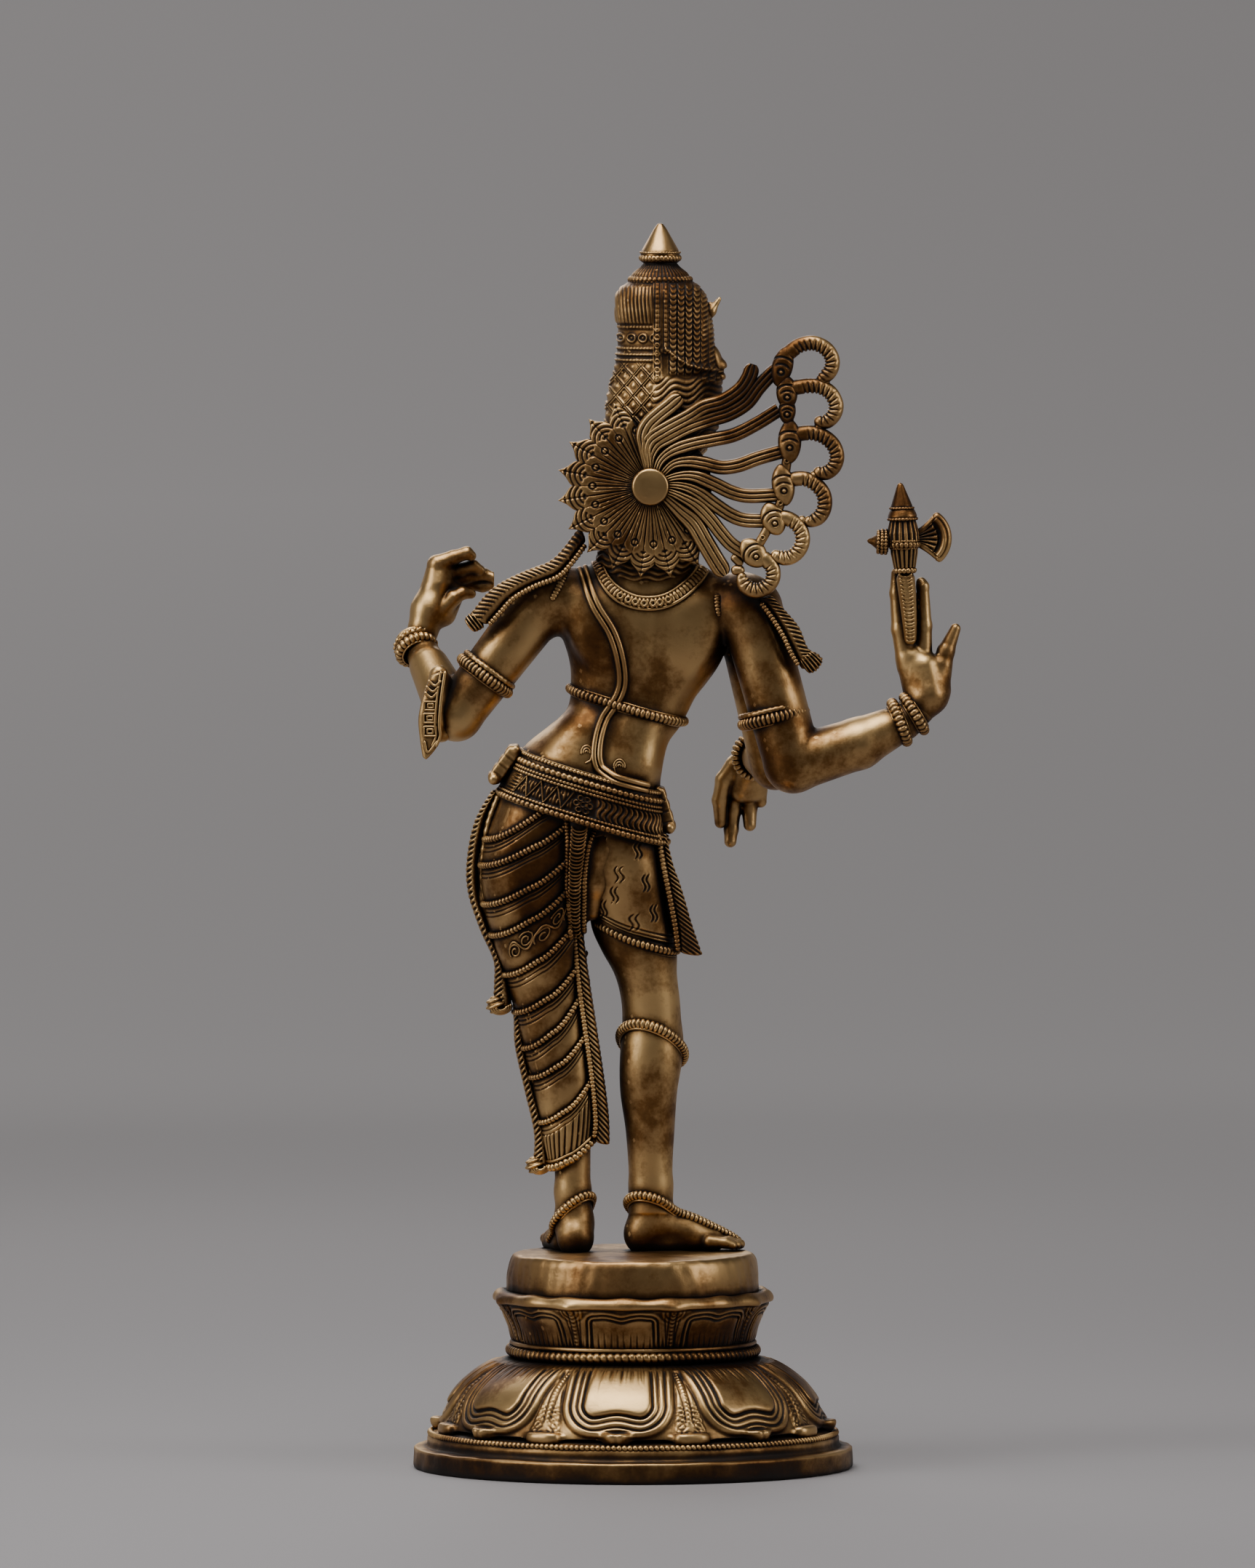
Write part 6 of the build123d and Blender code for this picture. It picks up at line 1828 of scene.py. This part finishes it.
def make_jewellery(trunk, leg, foot):
    made = make_bands(trunk, leg, foot)
    for make in (make_thread, make_collar, make_necklaces, make_straps, make_curls):
        made += make(trunk)
    return made + make_tassels() + make_elbow_drape() + make_axe()


# ---------------------------------------------------------------- head

FACE_X = -5.8


def make_head():
    clay = Clay((-25, -31, 322), (14, 10, 372), 0.33)
    clay.add(rod((-4.4, -5.4, 318.0), (-5.3, -7.6, 342.0), 8.4, 8.0))
    clay.add(egg((FACE_X, -7.5, 351.5), (12.6, 14.2, 16.0)), 3.0)
    clay.add(egg((FACE_X, -12.0, 339.8), (10.0, 9.8, 10.6)), 4.0)
    clay.add(egg((FACE_X, -17.6, 333.2), (4.2, 4.2, 3.8)), 3.5)
    clay.add(egg((FACE_X, -14.0, 357.5), (9.6, 8.0, 6.6)), 4.0)
    for side in (-1, 1):
        clay.add(egg((FACE_X + side * 6.0, -15.4, 341.2), (4.2, 4.8, 4.8)), 3.0)
        clay.cut(egg((FACE_X + side * 5.0, -23.4, 348.2), (3.9, 2.9, 2.3), (0, side * 8, 0)), 1.6)
        clay.add(egg((FACE_X + side * 5.1, -18.2, 347.8), (3.5, 2.7, 1.7), (0, side * 7, 0)), 0.5)
        clay.add(egg((FACE_X + side * 13.0, -6.0, 346.0), (1.7, 3.4, 6.4), (0, 0, 0)), 1.0)
        clay.cut(egg((FACE_X + side * 14.6, -7.0, 347.0), (1.2, 2.0, 3.8)), 0.6)
    clay.add(rod((FACE_X, -20.3, 349.6), (FACE_X, -24.2, 342.4), 1.2, 1.8), 1.6)
    clay.add(egg((FACE_X, -23.4, 341.9), (1.8, 2.2, 1.6)), 1.0)
    for side in (-1, 1):
        clay.add(egg((FACE_X + side * 2.1, -21.6, 341.5), (1.3, 1.8, 1.3)), 0.8)
        clay.add(rod((FACE_X, -20.9, 337.9), (FACE_X + side * 3.5, -19.0, 337.4), 1.05, 0.55), 0.7)
        clay.add(rod((FACE_X, -20.6, 336.0), (FACE_X + side * 2.7, -19.2, 336.5), 1.25, 0.6), 0.7)
    for side in (-1, 1):
        clay.cut(rod((FACE_X, -22.4, 337.0), (FACE_X + side * 3.6, -20.4, 337.1), 0.42, 0.3), 0.3)
    clay.cut(rod((FACE_X, -21.9, 340.2), (FACE_X, -21.7, 338.9), 0.5, 0.6), 0.6)
    face = clay.make("head_face")

    tree = tree_of(face)
    parts = Parts()

    def draw(points, r, lift=0.0):
        line = lay([tree], points, lift, -1.0, 0.35)
        tube(parts, even_line(line, 0.35), lambda s, phi: r + 0 * s + 0 * phi, 8)
    for side in (-1, 1):
        cx = FACE_X + side * 5.1
        draw([(cx - side * 3.6, 347.2), (cx - side * 1.6, 349.4), (cx + side * 1.2, 349.8),
              (cx + side * 4.0, 348.6)], 0.42, 0.05)
        draw([(cx - side * 3.6, 347.2), (cx - side * 1.4, 346.0), (cx + side * 1.4, 346.3),
              (cx + side * 4.0, 348.6)], 0.34, 0.0)
        draw([(cx - side * 3.4, 351.4), (cx - side * 0.6, 353.4), (cx + side * 2.4, 353.3),
              (cx + side * 5.0, 351.4)], 0.42, -0.05)
        spot = cast([tree], (cx, -90, 347.8), (0, 1, 0))[0]
        tube(parts, even_line(ring_line(spot, (0, 1, 0), 1.15, 1.0, 26), 0.3), 0.26, 8, True)
        parts.sheet(ball(spot + np.array([0, 0.1, 0]), 0.5, 10, 7))
        # ear lobes and pendants
        lobe = np.array([FACE_X + side * 13.4, -6.5, 340.0])
        big = side > 0
        tube(parts, even_line(ring_line(lobe + np.array([0, 0, -3.2]), (1, 0, 0) if big else (0.2, 1, 0),
                                        3.4 if big else 2.8), 0.4),
             1.15, 12, True)
        parts.sheet(ball(lobe, 1.7, 14, 10))
        if big:
            parts.sheet(ball(lobe + np.array([0, 0, -3.2]), 2.2, 16, 11))
    spot = cast([tree], (FACE_X, -90, 355.2), (0, 1, 0))[0]
    tube(parts, even_line(np.array([spot + (0, 0, 1.9), spot + (0.75, 0, 0), spot + (0, 0, -1.9),
                                    spot + (-0.75, 0, 0), spot + (0, 0, 1.9)]), 0.3),
         0.3, 8, True)
    features = parts.make("face_features")

    # band across the brow, with drops along its lower edge
    parts = Parts()
    a = np.linspace(0, TAU, 220)
    for r, z, t, p in ((0.0, 361.8, 1.3, 1.6), (0.1, 359.2, 1.0, 1.3), (0.0, 364.2, 0.9, 1.3)):
        line = np.stack([FACE_X - 0.6 + (14.2 + r) * np.cos(a), -8.0 + (15.2 + r) * np.sin(a),
                         np.full(220, z)], 1)
        rope(parts, line, t, p, 0.0, 0.42, True, 10)
    for k in range(13):
        v = PI * (1.12 + 0.76 * k / 12)
        p = np.array([FACE_X - 0.6 + 14.4 * math.cos(v), -8.0 + 15.4 * math.sin(v), 357.6])
        parts.sheet(ball(p, 0.95, 12, 8))
    for dz, r in ((366.5, 3.0), (370.0, 2.0)):
        parts.sheet(ball((FACE_X - 0.6, -22.6, dz), r, 20, 14))
    brow = parts.make("brow_band_beads")

    # wavy hair low on the neck
    rows, cols = 120, 260
    b = np.linspace(-0.5 * PI + 0.02, 0.5 * PI - 0.02, rows)[:, None]
    a = np.linspace(0, TAU, cols, endpoint=False)[None, :]
    wave = ridge((b * 10.5 + 0.55 * np.sin(a * 11.0)) / 2.0, 0.8)
    grow = 1 + 0.055 * (wave - 0.6)
    x = -4.6 + 17.6 * grow * np.cos(b) * np.cos(a)
    y = -1.6 + 9.6 * grow * np.cos(b) * np.sin(a)
    z = 324.5 + 13.0 * grow * np.sin(b) + 0 * a
    hair = Parts().sheet(np.stack([x, y, z], -1)[::-1], False, True).make("nape_hair_waves")
    return [(face, ["head"]), (features, []), (brow, ["brow_band"]), (hair, ["nape_hair"])]


def make_figure():
    trunk, legs = make_trunk(), make_legs()
    trees = [tree_of(trunk[0][0]), tree_of(legs[0][0]), tree_of(legs[1][0])]
    return trunk + make_hands() + legs + make_head() + make_jewellery(*trees)


# ---------------------------------------------------------------- brass

def ramp(tree, source, stops):
    r = tree.nodes.new("ShaderNodeValToRGB")
    while len(r.color_ramp.elements) < len(stops):
        r.color_ramp.elements.new(0.5)
    for element, (place, colour) in zip(r.color_ramp.elements, stops):
        element.position = place
        element.color = (*colour, 1.0)
    tree.links.new(source, r.inputs["Fac"])
    return r.outputs["Color"]


def math_node(tree, operation, a, b):
    m = tree.nodes.new("ShaderNodeMath")
    m.operation = operation
    for socket, value in ((m.inputs[0], a), (m.inputs[1], b)):
        if isinstance(value, (int, float)):
            socket.default_value = value
        else:
            tree.links.new(value, socket)
    return m.outputs[0]


def mix_colour(tree, share, a, b, blend="MIX"):
    m = tree.nodes.new("ShaderNodeMix")
    m.data_type = "RGBA"
    m.blend_type = blend
    for socket, value in ((m.inputs["Factor"], share), (m.inputs[6], a), (m.inputs[7], b)):
        if isinstance(value, (int, float)):
            socket.default_value = value
        elif isinstance(value, tuple):
            socket.default_value = (*value, 1.0)
        else:
            tree.links.new(value, socket)
    return m.outputs[2]


def brass(name, polish, patina_and_shade=1.0, roughness=0.36):
    """Cast brass with a dark patina in its hollows, and painted shade in broad hollows and beside the limbs.
    polish is how far its raised parts are rubbed bright.
    """
    mat = bpy.data.materials.new(name)
    mat.use_nodes = True
    tree = mat.node_tree
    tree.nodes.clear()
    out = tree.nodes.new("ShaderNodeOutputMaterial")
    shade = tree.nodes.new("ShaderNodeBsdfPrincipled")
    tree.links.new(shade.outputs[0], out.inputs[0])
    where = tree.nodes.new("ShaderNodeTexCoord").outputs["Object"]
    geo = tree.nodes.new("ShaderNodeNewGeometry")

    def cloud(scale, detail, rough=0.5):
        n = tree.nodes.new("ShaderNodeTexNoise")
        n.inputs["Scale"].default_value = scale
        n.inputs["Detail"].default_value = detail
        n.inputs["Roughness"].default_value = rough
        tree.links.new(where, n.inputs["Vector"])
        return n.outputs["Fac"]
    broad, middle, fine = cloud(22, 3), cloud(95, 4, 0.6), cloud(620, 5, 0.65)

    # Occlusion over 3 mm darkens crevices: patina in the hollows, with painted shade there as well.
    shadow = tree.nodes.new("ShaderNodeAmbientOcclusion")
    shadow.samples = 6
    shadow.inputs["Distance"].default_value = 0.0030
    # Occlusion over 16 mm darkens broad hollows and the surface beside the limbs: painted shade.
    wide = tree.nodes.new("ShaderNodeAmbientOcclusion")
    wide.samples = 5
    wide.inputs["Distance"].default_value = 0.016
    # The value built below mixes rubbed edges, patina in crevices, random drift and the painted shade of the
    # wide occlusion; it drives colour, metal and roughness.
    crease = math_node(tree, "SUBTRACT", geo.outputs["Pointiness"], 0.5)
    edge = math_node(tree, "MULTIPLY", crease, 7.0)
    near = math_node(tree, "POWER", shadow.outputs["AO"], 1.7)
    open_part = math_node(tree, "MULTIPLY", near, wide.outputs["AO"])
    wear_and_shade = math_node(tree, "ADD", open_part, edge)
    drift = math_node(tree, "MULTIPLY", math_node(tree, "SUBTRACT", middle, 0.5), 0.9)
    drift = math_node(tree, "ADD", drift,
                      math_node(tree, "MULTIPLY", math_node(tree, "SUBTRACT", broad, 0.5), 1.5))
    wear_and_shade = math_node(tree, "ADD", wear_and_shade, drift)
    wear_and_shade = math_node(tree, "ADD", wear_and_shade,
                     math_node(tree, "MULTIPLY", math_node(tree, "SUBTRACT", fine, 0.5), 0.30))
    wear_and_shade = math_node(tree, "ADD", wear_and_shade, polish - 0.5)

    # dark colours the patina in crevices and the painted shade of the wide occlusion alike; bright is rubbed
    # brass. The third argument of brass moves the dark stop.
    dark = (0.011, 0.0065, 0.0042)
    brown = (0.068, 0.032, 0.0105)
    mid = (0.262, 0.136, 0.044)
    bright = (0.62, 0.40, 0.17)
    colour = ramp(tree, wear_and_shade, [(0.22 * patina_and_shade, dark), (0.52, brown), (0.80, mid), (1.0, bright)])
    stain = ramp(tree, broad, [(0.36, (0.50, 0.40, 0.35)), (0.58, (1.0, 1.0, 1.0))])
    colour = mix_colour(tree, 1.0, colour, stain, "MULTIPLY")
    tree.links.new(colour, shade.inputs["Base Color"])
    metal = ramp(tree, wear_and_shade, [(0.15, (0.55, 0.55, 0.55)), (0.55, (0.92, 0.92, 0.92)), (0.9, (1, 1, 1))])
    tree.links.new(metal, shade.inputs["Metallic"])
    rough = ramp(tree, wear_and_shade, [(0.1, (0.72,) * 3), (0.55, (roughness + 0.12,) * 3), (1.0, (roughness,) * 3)])
    rough = mix_colour(tree, 0.35, rough,
                       ramp(tree, middle, [(0.3, (roughness + 0.16,) * 3), (0.7, (roughness - 0.06,) * 3)]))
    tree.links.new(rough, shade.inputs["Roughness"])

    bump = tree.nodes.new("ShaderNodeBump")
    bump.inputs["Strength"].default_value = 0.32
    bump.inputs["Distance"].default_value = 0.00022
    relief = math_node(tree, "ADD", fine, math_node(tree, "MULTIPLY", middle, 1.6))
    tree.links.new(relief, bump.inputs["Height"])
    tree.links.new(bump.outputs["Normal"], shade.inputs["Normal"])
    return mat


MAKERS = [make_pedestal, make_rosette, make_locks, make_snakes, make_crown, make_figure, make_clothes]


# ---------------------------------------------------------------- putting it together

def plain(name, colour, roughness):
    mat = bpy.data.materials.new(name)
    mat.use_nodes = True
    shade = mat.node_tree.nodes["Principled BSDF"]
    shade.inputs["Base Color"].default_value = (*colour, 1.0)
    shade.inputs["Roughness"].default_value = roughness
    return mat


def studio_grey_painted_glow():
    """Pale grey with a soft painted glow of its own away from the statue, brighter on the side that it faces
    and a little brighter towards +X; the glow stands in for studio light on the far floor and wall.
    """
    mat = plain("studio_grey_painted_glow", (0.262, 0.246, 0.249), 0.75)
    tree = mat.node_tree
    shade = tree.nodes["Principled BSDF"]
    where = tree.nodes.new("ShaderNodeTexCoord").outputs["Object"]
    axes = tree.nodes.new("ShaderNodeSeparateXYZ")
    tree.links.new(where, axes.inputs[0])
    far = tree.nodes.new("ShaderNodeVectorMath")
    far.operation = "LENGTH"
    tree.links.new(where, far.inputs[0])

    def spread(source, low, high, at_low, at_high):
        m = tree.nodes.new("ShaderNodeMapRange")
        m.interpolation_type = "SMOOTHSTEP"
        for k, value in enumerate((low, high, at_low, at_high)):
            m.inputs[k + 1].default_value = value
        tree.links.new(source, m.inputs[0])
        return m.outputs[0]
    # Painted light: the emission fades out near the statue where the lamps reach, and rises towards -Y and a
    # little towards +X, in place of lamp light on the far floor and wall.
    front = spread(axes.outputs[1], -2.2, 1.0, 0.195, 0.060)
    away = spread(far.outputs["Value"], 0.25, 2.3, 0.0, 1.0)
    side = spread(axes.outputs[0], -0.8, 0.8, 0.91, 1.09)
    glow = math_node(tree, "MULTIPLY", math_node(tree, "MULTIPLY", front, away), side)
    shade.inputs["Emission Color"].default_value = (1.0, 0.955, 0.95, 1.0)
    tree.links.new(glow, shade.inputs["Emission Strength"])
    return mat


def make_stage():
    """A wide pale floor that curves up into a wall all round, far behind every view."""
    reach, wall, bend, flat = 12000.0, 5000.0, 2600.0, 9000.0
    line = rounded_line([(0.02, 0.0), (reach, 0.0), (reach, wall)], bend, 24)
    line = np.concatenate([[(r, 0.0) for r in np.linspace(0.02, flat, 40)], line[1:]])
    a = (np.arange(128) / 128 * TAU)[None, :]
    r, z = line[:, :1], line[:, 1:]
    bowl = Parts().sheet(np.stack([r * np.cos(a), r * np.sin(a), z + 0 * a], -1), False,
                         True).make("studio_bowl")
    # The bowl's material paints a glow of light on the far floor and wall.
    bowl.data.materials.append(studio_grey_painted_glow())
    bowl.location.z = -0.0001
    return bowl


def area_light(name, place, aim, size, power):
    data = bpy.data.lights.new(name, "AREA")
    data.shape = "RECTANGLE"
    data.size, data.size_y = size
    data.energy = power
    obj = bpy.data.objects.new(name, data)
    obj.location = place
    obj.rotation_euler = (Vector(aim) - Vector(place)).to_track_quat("-Z", "Y").to_euler()
    bpy.context.scene.collection.objects.link(obj)


def light_up():
    world = bpy.data.worlds.new("studio")
    world.use_nodes = True
    back = world.node_tree.nodes["Background"]
    back.inputs["Color"].default_value = (0.80, 0.79, 0.80, 1)
    back.inputs["Strength"].default_value = 0.06
    bpy.context.scene.world = world
    middle = (0, 0, 0.22)
    area_light("top_box", (0.15, 0.30, 1.35), middle, (1.0, 0.8), 16.5)
    area_light("left_box", (1.20, 0.62, 0.80), middle, (0.6, 1.0), 8.5)
    area_light("right_box", (-1.30, 0.50, 0.75), middle, (0.55, 1.0), 6.0)
    area_light("front_box", (0.3, -1.15, 0.95), middle, (1.0, 0.8), 6.0)


def set_camera():
    """A long lens behind the statue, looking down at it by about three degrees."""
    data = bpy.data.cameras.new("camera")
    data.lens = 450.0
    data.sensor_width = 36.0
    data.sensor_fit = "AUTO"
    data.clip_end = 50.0
    cam = bpy.data.objects.new("camera", data)
    place = Vector((0.002, 7.0, 0.595))
    aim = Vector((0.002, 0.0, 0.2447))
    cam.location = place
    cam.rotation_euler = (aim - place).to_track_quat("-Z", "Y").to_euler()
    bpy.context.scene.collection.objects.link(cam)
    bpy.context.scene.camera = cam


def assemble(made):
    """Every piece rides the statue's one body and stands for its CAD nodes."""
    for obj, nodes, mat in made:
        obj.data.materials.clear()
        obj.data.materials.append(mat)
        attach(obj, "root")
        if nodes:
            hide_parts(*nodes)


def main():
    antique = brass("brass_antique", 0.45)
    rubbed = brass("brass_rubbed", 0.60, 0.9, 0.33)
    sooty = brass("brass_sooty", 0.36, 1.05, 0.40)
    etched = brass("brass_etched", 0.44)
    handled = brass("brass_handled", 0.39, 1.0, 0.42)
    finish = {"halo_boss_cap": rubbed, "crown_finial": rubbed, "crown_hair": sooty,
              "nape_hair_waves": sooty, "foot_steps": sooty, "halo_rosette": etched,
              "right_leg_body": handled, "left_foot_body": handled, "plinth_drum": rubbed}
    made = [(obj, nodes, finish.get(obj.name, antique)) for maker in MAKERS for obj, nodes in maker()]
    assemble(made)
    make_stage()
    light_up()
    set_camera()
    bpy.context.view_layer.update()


main()
